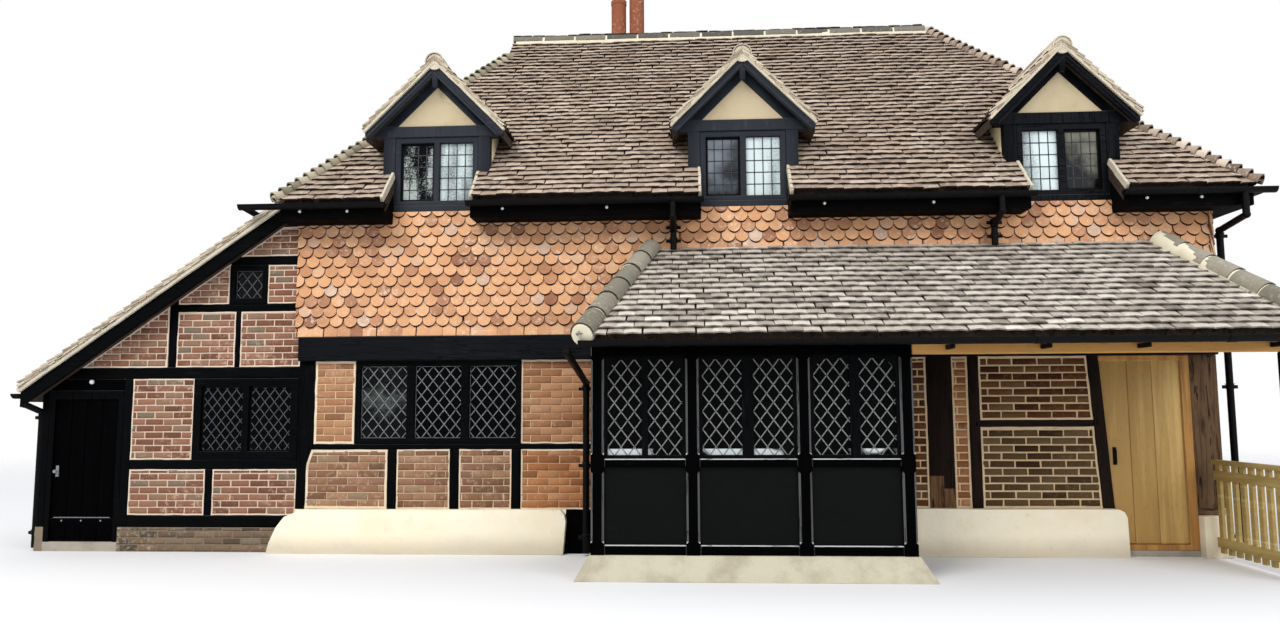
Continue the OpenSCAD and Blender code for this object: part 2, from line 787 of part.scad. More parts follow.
// Sole plates, rails and cross beams of the outshot
module outshot_rails() {
    y0 = -hy;
    y1 = -hy + wall_t;
    color("#16181c") {
        outshot_wall(false) block(out_clear_x, -hx, y0, y1, base_h, sole_top);
        outshot_wall(false) block(out_clear_x, -hx, y0, y1, out_rail_z, out_rail_z + out_rail_h);
        outshot_wall() block(out_door_x0, -hx, y0, y1, out_beam_z, out_beam_z + out_beam_h);
        outshot_wall() block(out_stud1 + stud_w, -hx, y0, y1, out_mid_z, out_mid_z + out_mid_h);
        outshot_wall() block(small_win_x0, -hx, y0, y1, out_top_z, out_top_z + out_top_h);
        mirror([0, 1, 0]) {
            block(out_door_x0, -hx, y0, y1, base_h, sole_top);
            block(out_door_x0, -hx, y0, y1, out_rail_z, out_rail_z + out_rail_h);
        }
        difference() {
            union() {
                block(out_x, out_x + out_post_w, -hy + wall_t, hy - wall_t, base_h, sole_top);
                for (i = [0:end_bays - 1])
                    block(out_x, out_x + out_post_w, end_y(i) + post_w, end_y(i + 1), out_rail_z,
                        out_rail_z + out_rail_h);
            }
            block(-far, far, hy - wall_t - joint_gap, far, -far, far);
        }
    }
}

// Panels of the outshot: brick, and boarding over the black door
module outshot_infill() {
    y0 = -hy + infill_back;
    y1 = y0 + infill_t;
    over_beam = out_beam_z + out_beam_h;
    over_rail = out_rail_z + out_rail_h;
    color("#8d5a45") {
        outshot_wall() {
            block(out_low_stud + out_low_stud_w, -hx, y0, y1, sole_top, out_rail_z);
            block(out_stud1 + stud_w, out_stud2, y0, y1, over_beam, out_mid_z);
            block(out_stud2 + small_stud_w, -hx, y0, y1, over_beam, out_mid_z);
            block(out_door_x0 + boarding_in, out_stud1, y0, y1, over_beam, far);
            block(out_stud1 + stud_w, small_win_x0, y0, y1, small_win_z, far);
            block(small_win_x1, -hx, y0, y1, small_win_z, out_top_z);
            block(small_win_x0, -hx, y0, y1, out_top_z + out_top_h, far);
        }
        block(out_clear_x, out_low_stud, y0, y1, sole_top, out_rail_z);
        block(out_clear_x, out_win_x, y0, y1, over_rail, out_beam_z);
        outshot_wall(false) block(out_door_x0, out_door_x1, y0, y1, out_door_top + out_head_h, out_beam_z);
        mirror([0, 1, 0]) {
            block(out_door_x0, out_low_stud, y0, y1, sole_top, out_rail_z);
            outshot_wall(false) block(out_door_x0, out_win_x, y0, y1, over_rail, out_beam_z);
        }
        for (i = [0:end_bays - 1]) intersection() {
            block(out_x + infill_back, out_x + out_post_w - infill_back, end_y(i) + post_w, end_y(i + 1),
                sole_top, far);
            difference() {
                under_outshot_roof();
                block(-far, far, -far, far, out_rail_z, over_rail);
            }
        }
    }
}

// Catslide roof of the outshot, its upper edge against the main eaves
module outshot_roof() {
    color("#6f6258") along_y(-hy - out_verge + board_t, hy + out_verge - board_t) polygon([
        [out_eave_x, outshot_deck(out_eave_x) - out_tv], [out_top_x, outshot_deck(out_top_x) - out_tv],
        [out_top_x, outshot_deck(out_top_x)], [out_eave_x, outshot_deck(out_eave_x)]]);
}

// Bargeboards of the outshot and the dormers
module bargeboards() {
    color("#141518") {
        for (side = [0, 1]) mirror([0, side, 0])
            along_y(-hy - out_verge, -hy - out_verge + board_t) polygon([
                [out_eave_x, outshot_deck(out_eave_x) - out_board_h],
                [out_top_x, outshot_deck(out_top_x) - out_board_h],
                [out_top_x, outshot_deck(out_top_x)], [out_eave_x, outshot_deck(out_eave_x)]]);
        for (x = dormer_x) translate([x, 0, 0]) along_y(verge_y, verge_y + board_t) union() {
            polygon([
                [-dormer_roof_half, dormer_foot_z], [0, dormer_ridge_z], [dormer_roof_half, dormer_foot_z],
                [dormer_roof_half, dormer_foot_z - board_foot],
                [dormer_roof_half - board_foot, dormer_foot_z - board_h + board_foot],
                [0, dormer_ridge_z - board_h],
                [-dormer_roof_half + board_foot, dormer_foot_z - board_h + board_foot],
                [-dormer_roof_half, dormer_foot_z - board_foot]]);
            translate([-pendant_w / 2, dormer_ridge_z - pendant_h]) square([pendant_w, pendant_h - 40]);
        }
    }
}

// Upper floor, open round the chimney stack
module upper_floor() {
    color("peru") difference() {
        block(-hx + wall_t, hx - wall_t, -hy + wall_t, hy - wall_t, beam_top - upper_floor_t, beam_top);
        flue_space();
    }
}

// Space kept round the chimney stack
module flue_space() {
    w = stack_w / 2 + flue_gap;
    d = stack_d / 2 + flue_gap;
    block(stack_x - w, stack_x + w, stack_y - d, stack_y + d, 0, far);
}

// Tile-hung walls of the upper storey
module upper_front_wall() {
    color("#b5643e") block(-hx, hx, -hy, -hy + wall_t, beam_top, wall_top);
}
module upper_rear_wall() {
    color("#b5643e") block(-hx, hx, hy - wall_t, hy, beam_top, wall_top);
}
module upper_end_walls() {
    color("#b5643e") for (x = [-hx, hx - wall_t]) intersection() {
        block(x, x + wall_t, -hy + wall_t, hy - wall_t, beam_top, far);
        under_main_roof();
    }
}

// Deck of the front slope over the whole house, cut by the hips
module front_slope() {
    intersection() {
        along_x(-far, far) polygon([
            [-eave_y, eaves_z - roof_tv], [0, ridge_z - roof_tv], [0, ridge_z], [-eave_y, eaves_z]]);
        linear_extrude(far) intersection() {
            polygon([[left_x, -eave_y], [right_x, -eave_y], [right_gablet_x, -right_gablet_y],
                [ridge_end_x, 0], [left_gablet_x, 0], [left_gablet_x, -left_gablet_y]]);
            deck_plan();
        }
    }
}

// Plan of the roof decks inside their lower edges
module deck_plan() {
    translate([left_x + edge_back, -eave_y + edge_back])
        square([right_x - left_x - 2 * edge_back, 2 * (eave_y - edge_back)]);
}

// Front slope with the openings for the three dormers
module front_roof() {
    cheek = gap_half + cheek_back;
    low_y = dormer_valley_y(cheek);
    top_y = dormer_valley_y(0);
    color("#7a6455") difference() {
        front_slope();
        for (x = dormer_x) translate([x, 0, 0]) linear_extrude(far) polygon([
            [-gap_half, -far], [gap_half, -far], [gap_half, -hy], [dormer_half, -hy],
            [dormer_half, -hy + dormer_post_d], [cheek, -hy + dormer_post_d], [cheek, low_y],
            [0, top_y], [-cheek, low_y], [-cheek, -hy + dormer_post_d],
            [-dormer_half, -hy + dormer_post_d], [-dormer_half, -hy], [-gap_half, -hy]]);
    }
}

// Where the underside of a dormer's roof meets the front deck, x from its centre
function dormer_valley_y(x) =
    -eave_y + (dormer_ridge_z - dormer_tv - x * dormer_pitch - eaves_z) / pitch;

// Rear slope, open round the chimney stack
module rear_roof() {
    color("#7a6455") difference() {
        mirror([0, 1, 0]) front_slope();
        flue_space();
    }
}

// Hipped slopes at both ends below the gablets
module hip_roofs() {
    color("#7a6455") {
        intersection() {
            along_y(-far, far) polygon([
                [left_x, eaves_z - roof_tv], [left_gablet_x, left_gablet_z - roof_tv],
                [left_gablet_x, left_gablet_z], [left_x, eaves_z]]);
            linear_extrude(far) intersection() {
                polygon([[left_x, -eave_y], [left_gablet_x, -left_gablet_y],
                    [left_gablet_x, left_gablet_y], [left_x, eave_y]]);
                deck_plan();
            }
        }
        intersection() {
            along_y(-far, far) polygon([
                [right_x, eaves_z - roof_tv], [right_gablet_x, right_gablet_z - roof_tv],
                [right_gablet_x, right_gablet_z], [right_x, eaves_z]]);
            linear_extrude(far) intersection() {
                polygon([[right_x, -eave_y], [right_gablet_x, -right_gablet_y],
                    [right_gablet_x, right_gablet_y], [right_x, eave_y]]);
                deck_plan();
            }
        }
    }
}

// Tops of the hips: a small upright gable on the left, a short steep slope on the right
module gablets() {
    drop = roof_tv + seat_gap;
    color("#7a6455") {
        along_x(left_gablet_x, left_gablet_x + cheek_t) polygon([
            [-left_gablet_y, left_gablet_z - drop], [left_gablet_y, left_gablet_z - drop],
            [0, ridge_z - drop]]);
        intersection() {
            along_y(-far, far) polygon([
                [right_gablet_x, right_gablet_z - roof_tv], [right_gablet_x, right_gablet_z],
                [ridge_end_x, ridge_z], [ridge_end_x, ridge_z - roof_tv]]);
            linear_extrude(far) polygon([
                [right_gablet_x, -right_gablet_y], [right_gablet_x, right_gablet_y], [ridge_end_x, 0]]);
        }
    }
}

// Ridge caps of the main roof and the dormers
module ridge_tiles() {
    color("#8b7d70") {
        translate([left_gablet_x, 0, ridge_z - 40]) rotate([90, 0, 90])
            ridge_cap(ridge_end_x - left_gablet_x, pitch, 40);
        for (x = dormer_x) difference() {
            translate([x, verge_y, dormer_ridge_z - 30]) rotate([90, 0, 180])
                ridge_cap(dormer_back - verge_y, dormer_pitch, 30);
            along_x(-far, far) polygon([[-far, front_deck(-far)], [0, ridge_z], [0, 0], [-far, 0]]);
        }
    }
}

// Half round cap over a ridge whose slopes rise by slope, apex at height lift
module ridge_cap(run, slope, lift) {
    linear_extrude(run) difference() {
        circle(cap_r);
        polygon([[-cap_r * 2, lift - cap_r * 2 * slope], [0, lift], [cap_r * 2, lift - cap_r * 2 * slope],
            [cap_r * 2, -cap_r * 4], [-cap_r * 2, -cap_r * 4]]);
    }
}

// Boxed eaves with their fascia on all four sides, broken at the dormers
module eaves_boards() {
    x0 = left_x + edge_back - fascia_t;
    x1 = right_x - edge_back + fascia_t;
    y0 = -eave_y + edge_back - fascia_t;
    inner_y = -hy + wall_t;
    color("#141518") difference() {
        union() {
            block(x0, x1, y0, -y0, soffit_z, fascia_top);
            intersection() {
                block(x0 + fascia_t, x1 - fascia_t, y0 + fascia_t, -y0 - fascia_t, soffit_z, far);
                under_main_roof();
            }
        }
        difference() {
            block(x0 + fascia_t, x1 - fascia_t, y0 + fascia_t, -y0 - fascia_t, soffit_z, far);
            under_main_roof();
        }
        block(-hx, hx, -hy, hy, 0, wall_top);
        block(-hx, hx, inner_y, -inner_y, 0, far);
        for (x = dormer_x) {
            block(x - gap_half, x + gap_half, -far, -hy, 0, far);
            block(x - dormer_half, x + dormer_half, -hy, inner_y, 0, far);
        }
        for (side = [0, 1]) mirror([0, side, 0])
            block(-far, far, inner_y, inner_y + joint_gap, 0, far);
    }
}

// Timber fronts of the dormers: posts, sill, tie beam and gable rafters
module dormer_frames() {
    color("#1a1c20") for (x = dormer_x) translate([x, 0, 0]) intersection() {
        union() {
            for (side = [0, 1]) mirror([side, 0, 0])
                block(gap_half, dormer_half, -hy, -hy + dormer_post_d, wall_top, tie_z);
            block(-gap_half, gap_half, -hy - 20, -hy + dormer_post_d, wall_top, dormer_sill_z);
            block(-tie_half, tie_half, -hy - 10, -hy + dormer_post_d, tie_z, tie_z + tie_h);
            difference() {
                block(-tie_half, tie_half, -hy, -hy + cheek_t, tie_z + tie_h, far);
                under_dormer_roof(rafter_h);
            }
        }
        under_dormer_roof(dormer_tv);
    }
}

// Rendered gable panels and cheeks of the dormers
module dormer_panels() {
    cheek_x = gap_half + cheek_back;
    panel_y = -hy + infill_back;
    color("#e6d3ae") for (x = dormer_x) translate([x, 0, 0]) {
        intersection() {
            block(-tie_half, tie_half, panel_y, panel_y + cheek_t, tie_z + tie_h, far);
            under_dormer_roof(rafter_h);
        }
        for (side = [0, 1]) mirror([side, 0, 0]) intersection() {
            block(cheek_x, dormer_half, -hy + dormer_post_d, 0, eaves_z, far);
            above_front_slope();
            under_dormer_roof(dormer_tv);
        }
    }
}

// Roofs of the dormers, two slopes each, resting on the front slope
module dormer_roofs() {
    color("#8b7d70") for (x = dormer_x, side = [0, 1]) translate([x, 0, 0]) mirror([side, 0, 0])
        intersection() {
            along_y(verge_y + board_t, dormer_back) polygon([
                [ridge_joint, dormer_ridge_z - ridge_joint * dormer_pitch],
                [dormer_roof_half, dormer_foot_z], [dormer_roof_half, dormer_foot_z - dormer_tv],
                [ridge_joint, dormer_ridge_z - ridge_joint * dormer_pitch - dormer_tv]]);
            above_front_slope();
        }
}

// Window frames of the front, rear, right end, outshot and dormers
module window_frames() {
    face = -hy - 10;
    color("#15161a") {
        window_frame(win_x, win_x + win_w, rail_z + rail_h, beam_z, 3, face, frame_w, mullion_w);
        outshot_windows() window_frame(out_win_x, -hx, out_rail_z + out_rail_h, out_beam_z, 2, face,
            out_border, out_mullion);
        outshot_windows() window_frame(small_win_x0, small_win_x1, small_win_z, out_top_z, 1, face,
            frame_w, 0);
        for (x = dormer_x) window_frame(x - gap_half, x + gap_half, dormer_sill_z, tie_z, 2, face + 20,
            frame_w, frame_w);
        rear_windows() window_frame(0, back_win_w, rail_z + rail_h, beam_z, 3, face, frame_w,
            mullion_w);
        end_window() window_frame(0, end_win_w, rail_z + rail_h, beam_z, 3, face, frame_w,
            mullion_w);
    }
}

// Glass of all the windows, one pane to each light
module window_glass() {
    face = -hy - 10;
    color("#2a3136") {
        window_panes(win_x, win_x + win_w, rail_z + rail_h, beam_z, 3, face, frame_w, mullion_w);
        outshot_windows() window_panes(out_win_x, -hx, out_rail_z + out_rail_h, out_beam_z, 2, face,
            out_border, out_mullion);
        outshot_windows() window_panes(small_win_x0, small_win_x1, small_win_z, out_top_z, 1, face,
            frame_w, 0);
        for (x = dormer_x) window_panes(x - gap_half, x + gap_half, dormer_sill_z, tie_z, 2, face + 20,
            frame_w, frame_w);
        rear_windows() window_panes(0, back_win_w, rail_z + rail_h, beam_z, 3, face, frame_w,
            mullion_w);
        end_window() window_panes(0, end_win_w, rail_z + rail_h, beam_z, 3, face, frame_w,
            mullion_w);
        for (i = [0:2]) window_panes(bay_starts[i] + bay_post, bay_starts[i + 1], bay_sill_z, bay_head_z, 2,
            bay_y + bay_window_in, bay_border, bay_mullions[i], bay_frame_d);
        bay_side_windows() window_panes(0, bay_side_run, bay_sill_z, bay_head_z, 2, 0, bay_border,
            bay_mullions[2], bay_frame_d);
    }
}

// The outshot's windows, at the front and mirrored at the rear
module outshot_windows() {
    children();
    mirror([0, 1, 0]) children();
}

// A window drawn from x = 0 in the front wall, set in the rear wall's window bays
module rear_windows() {
    for (i = back_windows) translate([back_x(i + 1), 0, 0]) rotate([0, 0, 180]) children();
}

// The same in the right end wall's window bay
module end_window() {
    for (i = end_windows) translate([hx - hy, end_y(i) + post_w, 0]) rotate([0, 0, 90]) children();
}

// Brick stack through both floors and the rear slope, with an oversailing cap
module chimney_stack() {
    color("#8f5a44") {
        for (i = [0:2]) {
            grow = cap_steps[i];
            base = i == 0 ? floor_z : stack_top + (i - 1) * cap_h;
            top = stack_top + i * cap_h;
            block(stack_x - stack_w / 2 - grow, stack_x + stack_w / 2 + grow,
                stack_y - stack_d / 2 - grow, stack_y + stack_d / 2 + grow, base, top);
        }
    }
}

// Two round clay pots with a foot and a rim
module chimney_pots() {
    base = stack_top + 2 * cap_h;
    color("#b0573a") for (pot = [[-1, short_pot_h], [1, tall_pot_h]])
        translate([stack_x + pot[0] * pot_gap / 2, stack_y, base]) rotate_extrude() polygon([
            [pot_r - pot_wall, 0], [pot_r + 12, 0], [pot_r + 12, 60], [pot_r - 6, 60],
            [pot_r - 6, pot[1] - 60], [pot_r, pot[1] - 60], [pot_r, pot[1]], [pot_r - pot_wall, pot[1]]]);
}

// Rainwater gutters of the main roof, the pent roof and the outshot
module gutters() {
    end_right = right_x - edge_back + fascia_t;
    color("#101114") {
        translate([0, upper_gutter_y, 0]) {
            gutter_run(left_x - gutter_left_out, dormer_x[0] - gap_half + gutter_past_dormer,
                upper_gutter_z);
            for (i = [0:1])
                gutter_run(dormer_x[i] + gap_half - gutter_past_dormer,
                    dormer_x[i + 1] - gap_half + gutter_past_dormer, upper_gutter_z);
            gutter_run(dormer_x[2] + gap_half - gutter_past_dormer, end_right + gutter_right_out,
                upper_gutter_z);
        }
        translate([0, -upper_gutter_y, 0]) gutter_run(left_x, end_right, upper_gutter_z);
        translate([end_gutter_x, 0, 0]) rotate([0, 0, 90])
            gutter_run(upper_gutter_y + gutter_r + seat_gap, hy, upper_gutter_z);
        translate([0, pent_gutter_y, 0]) gutter_run(pent_x0 - 20, pent_x1 - 40, pent_gutter_z);
        translate([out_gutter_x, 0, 0]) rotate([0, 0, 90])
            gutter_run(-hy - out_verge, hy + out_verge, out_gutter_z);
    }
}

// Downpipes: two from the upper gutters to the pent roof, a short one onto the outshot roof,
// the others to the ground
module downpipes() {
    wall_y = -hy - 115;
    top_z = upper_gutter_z - gutter_r / 2;
    bay_pipe_x = bay_x0 - bay_base_out - pipe_d / 2 - 15;
    bay_pipe_y = -hy - plinth_out - pipe_d / 2 - 10;
    out_pipe_x = out_x - pipe_d / 2 - 12;
    out_pipe_y = -hy - 50;
    end_pipe_x = hx + pipe_d / 2 + 145;
    end_pipe_y = -hy + 100;
    stub_x = left_x - 335;
    rear_pipe_x = hx - 400;
    color("#101114") difference() {
        union() {
            for (x = upper_pipe_x) downpipe([
                [x, upper_gutter_y, top_z], [x, upper_gutter_y, soffit_z - 30],
                [x, wall_y, soffit_z - 130], [x, wall_y, pent_deck(wall_y) + 60]]);
            downpipe([
                [bay_pipe_x, pent_gutter_y, pent_gutter_z - gutter_r / 2],
                [bay_pipe_x, pent_gutter_y, pent_gutter_z - gutter_r - 45],
                [bay_pipe_x, bay_pipe_y, beam_z - 260], [bay_pipe_x, bay_pipe_y, 30]]);
            downpipe([
                [out_gutter_x, out_pipe_y, out_gutter_z - gutter_r / 2],
                [out_gutter_x, out_pipe_y, out_gutter_z - gutter_r - 60],
                [out_pipe_x, out_pipe_y + 120, out_gutter_z - gutter_r - 145],
                [out_pipe_x, out_pipe_y + 120, 30]]);
            downpipe([
                [end_pipe_x, upper_gutter_y, top_z], [end_pipe_x, upper_gutter_y, soffit_z - 110],
                [end_pipe_x, end_pipe_y, soffit_z - 180], [end_pipe_x, end_pipe_y, 30]]);
            downpipe([
                [rear_pipe_x, -upper_gutter_y, top_z], [rear_pipe_x, -upper_gutter_y, soffit_z - 30],
                [rear_pipe_x, -wall_y, soffit_z - 130], [rear_pipe_x, -wall_y, 30]]);
            pipe([stub_x, upper_gutter_y, top_z], [stub_x + 50, -hy - 120, top_z - 45], pipe_d);
        }
        for (g = [[upper_gutter_y, upper_gutter_z], [pent_gutter_y, pent_gutter_z]])
            along_x(-far, far) for (side = [-1, 1]) translate([side * g[0], g[1]]) circle(gutter_r);
        for (g = [[out_gutter_x, out_gutter_z], [end_gutter_x, upper_gutter_z]])
            along_y(-far, far) translate(g) circle(gutter_r);
    }
}

// Posts of the bay: four at the front and one against the wall on each side
module bay_posts() {
    color("#16181c") {
        for (x = bay_starts) block(x, x + bay_post, bay_y, bay_y + bay_post, bay_base_h, bay_head_z);
        for (x = [bay_x0, bay_x1 - bay_post])
            block(x, x + bay_post, -hy - bay_wall_post, -hy, bay_base_h, bay_head_z);
    }
}

// Base rails, sills and heads of the bay
module bay_rails() {
    levels = [[bay_base_h, bay_panel_z], [bay_sill_z - bay_sill_h, bay_sill_z]];
    side_x = [bay_x0, bay_x1 - bay_post];
    color("#16181c") {
        for (z = levels) {
            for (i = [0:2])
                block(bay_starts[i] + bay_post, bay_starts[i + 1], bay_y + bay_rail_in,
                    bay_y + bay_post - bay_rail_in, z[0], z[1]);
            for (x = side_x)
                block(x + bay_rail_in, x + bay_post - bay_rail_in, bay_y + bay_post,
                    -hy - bay_wall_post, z[0], z[1]);
        }
        intersection() {
            union() {
                block(bay_x0, bay_x1, bay_y, bay_y + bay_post, bay_head_z, far);
                for (x = side_x) difference() {
                    block(x, x + bay_post, bay_y, -hy, bay_head_z, bay_head_z + bay_plate_h);
                    front_beam_space();
                }
            }
            under_pent();
        }
    }
}

// Boarded panels below the bay's sills, and the boarding of its sides above the heads
module bay_panels() {
    y0 = bay_y + bay_panel_in;
    x0 = bay_x0 + bay_panel_in;
    x1 = bay_x1 - bay_panel_in;
    z1 = bay_sill_z - bay_sill_h;
    color("#0e0f11") {
        for (i = [0:2])
            block(bay_starts[i] + bay_post, bay_starts[i + 1], y0, y0 + bay_panel_t, bay_panel_z, z1);
        for (x = [x0, x1 - bay_panel_t]) {
            block(x, x + bay_panel_t, bay_y + bay_post, -hy - bay_wall_post, bay_panel_z, z1);
            difference() {
                intersection() {
                    block(x, x + bay_panel_t, bay_y + bay_post, -hy, bay_head_z + bay_plate_h, far);
                    under_pent();
                }
                front_beam_space();
            }
        }
    }
}

// Leaded window frames of the bay; the outer bays have low arched heads
module bay_windows() {
    color("#15161a") {
        for (i = [0:2]) union() {
            window_frame(bay_starts[i] + bay_post, bay_starts[i + 1], bay_sill_z, bay_head_z, 2,
                bay_y + bay_window_in, bay_border, bay_mullions[i], bay_frame_d);
            if (i != 1) bay_spandrels(bay_starts[i] + bay_post + bay_border, bay_starts[i + 1] - bay_border);
        }
        bay_side_windows() window_frame(0, bay_side_run, bay_sill_z, bay_head_z, 2, 0, bay_border,
            bay_mullions[2], bay_frame_d);
    }
}

// A window drawn from x = 0 with its face at y = 0, set in both sides of the bay
module bay_side_windows() {
    translate([bay_x0 + bay_window_in, -hy - bay_wall_post, 0]) rotate([0, 0, -90]) children();
    translate([bay_x1 - bay_window_in, bay_y + bay_post, 0]) rotate([0, 0, 90]) children();
}

// Curved corner pieces under the head of an outer bay
module bay_spandrels(x0, x1) {
    r = spandrel_r;
    top = bay_head_z - bay_border;
    along_y(bay_y + bay_window_in + 5, bay_y + bay_window_in + (bay_frame_d - glass_t) / 2) difference() {
        translate([x0, top - r]) square([x1 - x0, r]);
        translate([x0 + r, top - r - 1]) square([x1 - x0 - 2 * r, r + 2]);
        for (x = [x0 + r, x1 - r]) translate([x, top - r]) circle(r);
    }
}

// Front slope of the pent roof
module pent_roof() {
    color("#8a7a70") intersection() {
        along_x(-far, far) polygon([
            [pent_y, pent_eave_z - pent_tv], [-hy, pent_top_z - pent_tv], [-hy, pent_top_z],
            [pent_y, pent_eave_z]]);
        linear_extrude(far) intersection() {
            polygon([
                [pent_x0, pent_y], [pent_x1, pent_y], [pent_x1 - pent_in, -hy], [pent_x0 + pent_in, -hy]]);
            translate([pent_x0 + pent_end_back, pent_y + edge_back])
                square([pent_x1 - pent_x0 - 2 * pent_end_back, far]);
        }
    }
}

// Steep end slopes of the pent roof
module pent_ends() {
    mid_x = (pent_x0 + pent_x1) / 2;
    color("#8a7a70") for (side = [0, 1]) translate([mid_x, 0, 0]) mirror([side, 0, 0]) difference() {
        intersection() {
            along_y(-far, -hy) polygon([
                [pent_x0 - mid_x, pent_eave_z - pent_tv],
                [pent_x0 - mid_x + pent_in, pent_top_z - pent_tv],
                [pent_x0 - mid_x + pent_in, pent_top_z], [pent_x0 - mid_x, pent_eave_z]]);
            linear_extrude(far) intersection() {
                polygon([[pent_x0 - mid_x, pent_y], [pent_x0 - mid_x + pent_in, -hy],
                    [pent_x0 - mid_x, -hy]]);
                translate([pent_x0 - mid_x + pent_end_back, pent_y + edge_back]) square(far);
            }
        }
        front_beam_space();
    }
}

// Light oak beam under the pent roof's edge from the bay to the porch post
module porch_beam() {
    color("#b98a4e") intersection() {
        block(bay_x1, porch_post_x + porch_post_w, bay_y, bay_y + bay_post, bay_head_z, far);
        under_pent();
    }
}

// Oak post at the open end of the porch
module porch_post() {
    color("#b98a4e")
        block(porch_post_x, porch_post_x + porch_post_w, bay_y, bay_y + bay_post, 0, bay_head_z);
}

// Oak picket rail between the corner post and the porch post
module side_rail() {
    y0 = bay_y + bay_post;
    y1 = -hy - plinth_out;
    x = porch_post_x + porch_post_w / 2;
    pickets = 9;
    step = (y1 - y0) / pickets;
    color("#c39a5c") {
        block(x - 35, x + 35, y0, y1, side_rail_h - 45, side_rail_h);
        block(x - 22, x + 22, y0, y1, side_rail_h - 200, side_rail_h - 110);
        block(x - 22, x + 22, y0, y1, 120, 210);
        for (i = [0:pickets - 1])
            block(x - 16, x + 16, y0 + (i + 0.5) * step - 30, y0 + (i + 0.5) * step + 30, 60,
                side_rail_h - 30);
    }
}

// Oak frame: right jamb, head and threshold, with stops in front of the leaf
module oak_door_frame() {
    y1 = -hy + door_frame_d;
    jamb_x = oak_x1 - oak_jamb;
    head_z = beam_z - oak_head_h;
    color("#b07f45") {
        block(jamb_x, oak_x1, -hy, y1, sill_z, beam_z);
        block(base_x1, jamb_x, -hy, y1, sill_z, threshold_z);
        block(jamb_x - stop_t, jamb_x, -hy, -hy + stop_t, threshold_z, head_z);
        intersection() {
            union() {
                block(lean_x, jamb_x, -hy, y1, head_z, beam_z);
                block(lean_x, jamb_x, -hy, -hy + stop_t, head_z - stop_t, head_z);
            }
            right_of_stud();
        }
    }
}

// Boarded oak leaf, its left edge following the leaning stud
module oak_door() {
    color("#a9793f") intersection() {
        block(lean_x, oak_leaf_x1, leaf_y, leaf_y + leaf_t, oak_leaf_z, oak_leaf_top);
        right_of_stud(free_gap);
    }
}

// Black bow handle on its plate near the leaf's left edge
module oak_door_handle() {
    x = lean_at(oak_handle_z) + lean_w + free_gap + 55;
    color("#111214") translate([x, leaf_y, oak_handle_z]) {
        block(-18, 18, -6, 0, -handle_h / 2 - 25, handle_h / 2 + 25);
        for (z = [-handle_h / 2, handle_h / 2])
            translate([0, 0, z]) rotate([90, 0, 0]) cylinder(h = handle_out, d = handle_d);
        translate([0, -handle_out + handle_d / 2, -handle_h / 2]) cylinder(h = handle_h, d = handle_d + 2);
    }
}

// Frame of the outshot door: jambs and head with stops in front of the leaf
module outshot_door_frame() {
    y1 = -hy + door_frame_d;
    x0 = out_door_x0;
    x1 = out_door_x1;
    top = out_door_top;
    color("#101114") {
        for (x = [x0, x1 - out_jamb]) block(x, x + out_jamb, -hy, y1, floor_z, top);
        for (x = [x0 + out_jamb, x1 - out_jamb - stop_t])
            block(x, x + stop_t, -hy, -hy + stop_t, floor_z, top);
        block(x0, x1, -hy, y1, top, top + out_head_h);
        block(x0 + out_jamb, x1 - out_jamb, -hy, -hy + stop_t, top - stop_t, top);
    }
}

// Black boarded leaf of the outshot
module outshot_door() {
    color("#0b0c0e") {
        block(out_leaf_x0, out_leaf_x1, leaf_y, leaf_y + leaf_t, floor_z + 2 * leaf_gap,
            out_door_top - leaf_gap);
    }
}

// Latch near the leaf's left edge: a plate with a round knob
module outshot_door_latch() {
    color("#8a8f94") translate([out_leaf_x0 + 60, leaf_y, out_latch_z]) {
        block(-16, 16, -6, 0, -60, 60);
        rotate([90, 0, 0]) cylinder(h = 40, d = 14);
        translate([0, -34, 0]) rotate([90, 0, 0]) cylinder(h = 20, d = 36);
    }
}

ground_floor();
brick_base();
end_bases();
rendered_plinths();
bay_base();
front_posts();
front_rails();
front_infill();
back_posts();
back_rails();
back_infill();
bressummers();
end_beams();
outshot_posts();
outshot_rails();
outshot_infill();
outshot_roof();
upper_floor();
upper_front_wall();
upper_rear_wall();
upper_end_walls();
front_roof();
rear_roof();
hip_roofs();
gablets();
ridge_tiles();
eaves_boards();
dormer_frames();
dormer_panels();
dormer_roofs();
bargeboards();
window_frames();
window_glass();
chimney_stack();
chimney_pots();
gutters();
downpipes();
bay_posts();
bay_rails();
bay_panels();
bay_windows();
pent_roof();
pent_ends();
porch_beam();
porch_post();
side_rail();
oak_door_frame();
oak_door();
oak_door_handle();
outshot_door_frame();
outshot_door();
outshot_door_latch();
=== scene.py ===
import math
import random

import bmesh
import bpy
from mathutils import Matrix, Vector, noise


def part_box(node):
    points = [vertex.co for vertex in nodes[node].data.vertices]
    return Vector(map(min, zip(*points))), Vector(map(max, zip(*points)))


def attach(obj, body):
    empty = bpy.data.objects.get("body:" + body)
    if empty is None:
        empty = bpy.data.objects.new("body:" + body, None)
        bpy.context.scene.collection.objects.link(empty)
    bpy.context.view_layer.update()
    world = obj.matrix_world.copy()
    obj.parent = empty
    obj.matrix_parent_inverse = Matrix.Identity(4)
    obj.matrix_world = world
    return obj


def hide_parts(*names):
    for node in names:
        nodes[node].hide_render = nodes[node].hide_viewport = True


# Vector noise starts from the clock unless it is seeded, and every run has to give the same shapes.
NOISE_SEED = 7
noise.seed_set(NOISE_SEED)

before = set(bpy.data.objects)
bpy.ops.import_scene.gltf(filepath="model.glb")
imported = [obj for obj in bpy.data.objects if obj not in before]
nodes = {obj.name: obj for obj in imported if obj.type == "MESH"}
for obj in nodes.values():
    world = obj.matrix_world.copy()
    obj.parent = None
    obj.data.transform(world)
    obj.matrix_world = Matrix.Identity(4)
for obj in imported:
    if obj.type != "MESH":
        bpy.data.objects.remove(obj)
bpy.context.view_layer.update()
X = Vector((1, 0, 0))
Y = Vector((0, 1, 0))
Z = Vector((0, 0, 1))


# Reading the frame


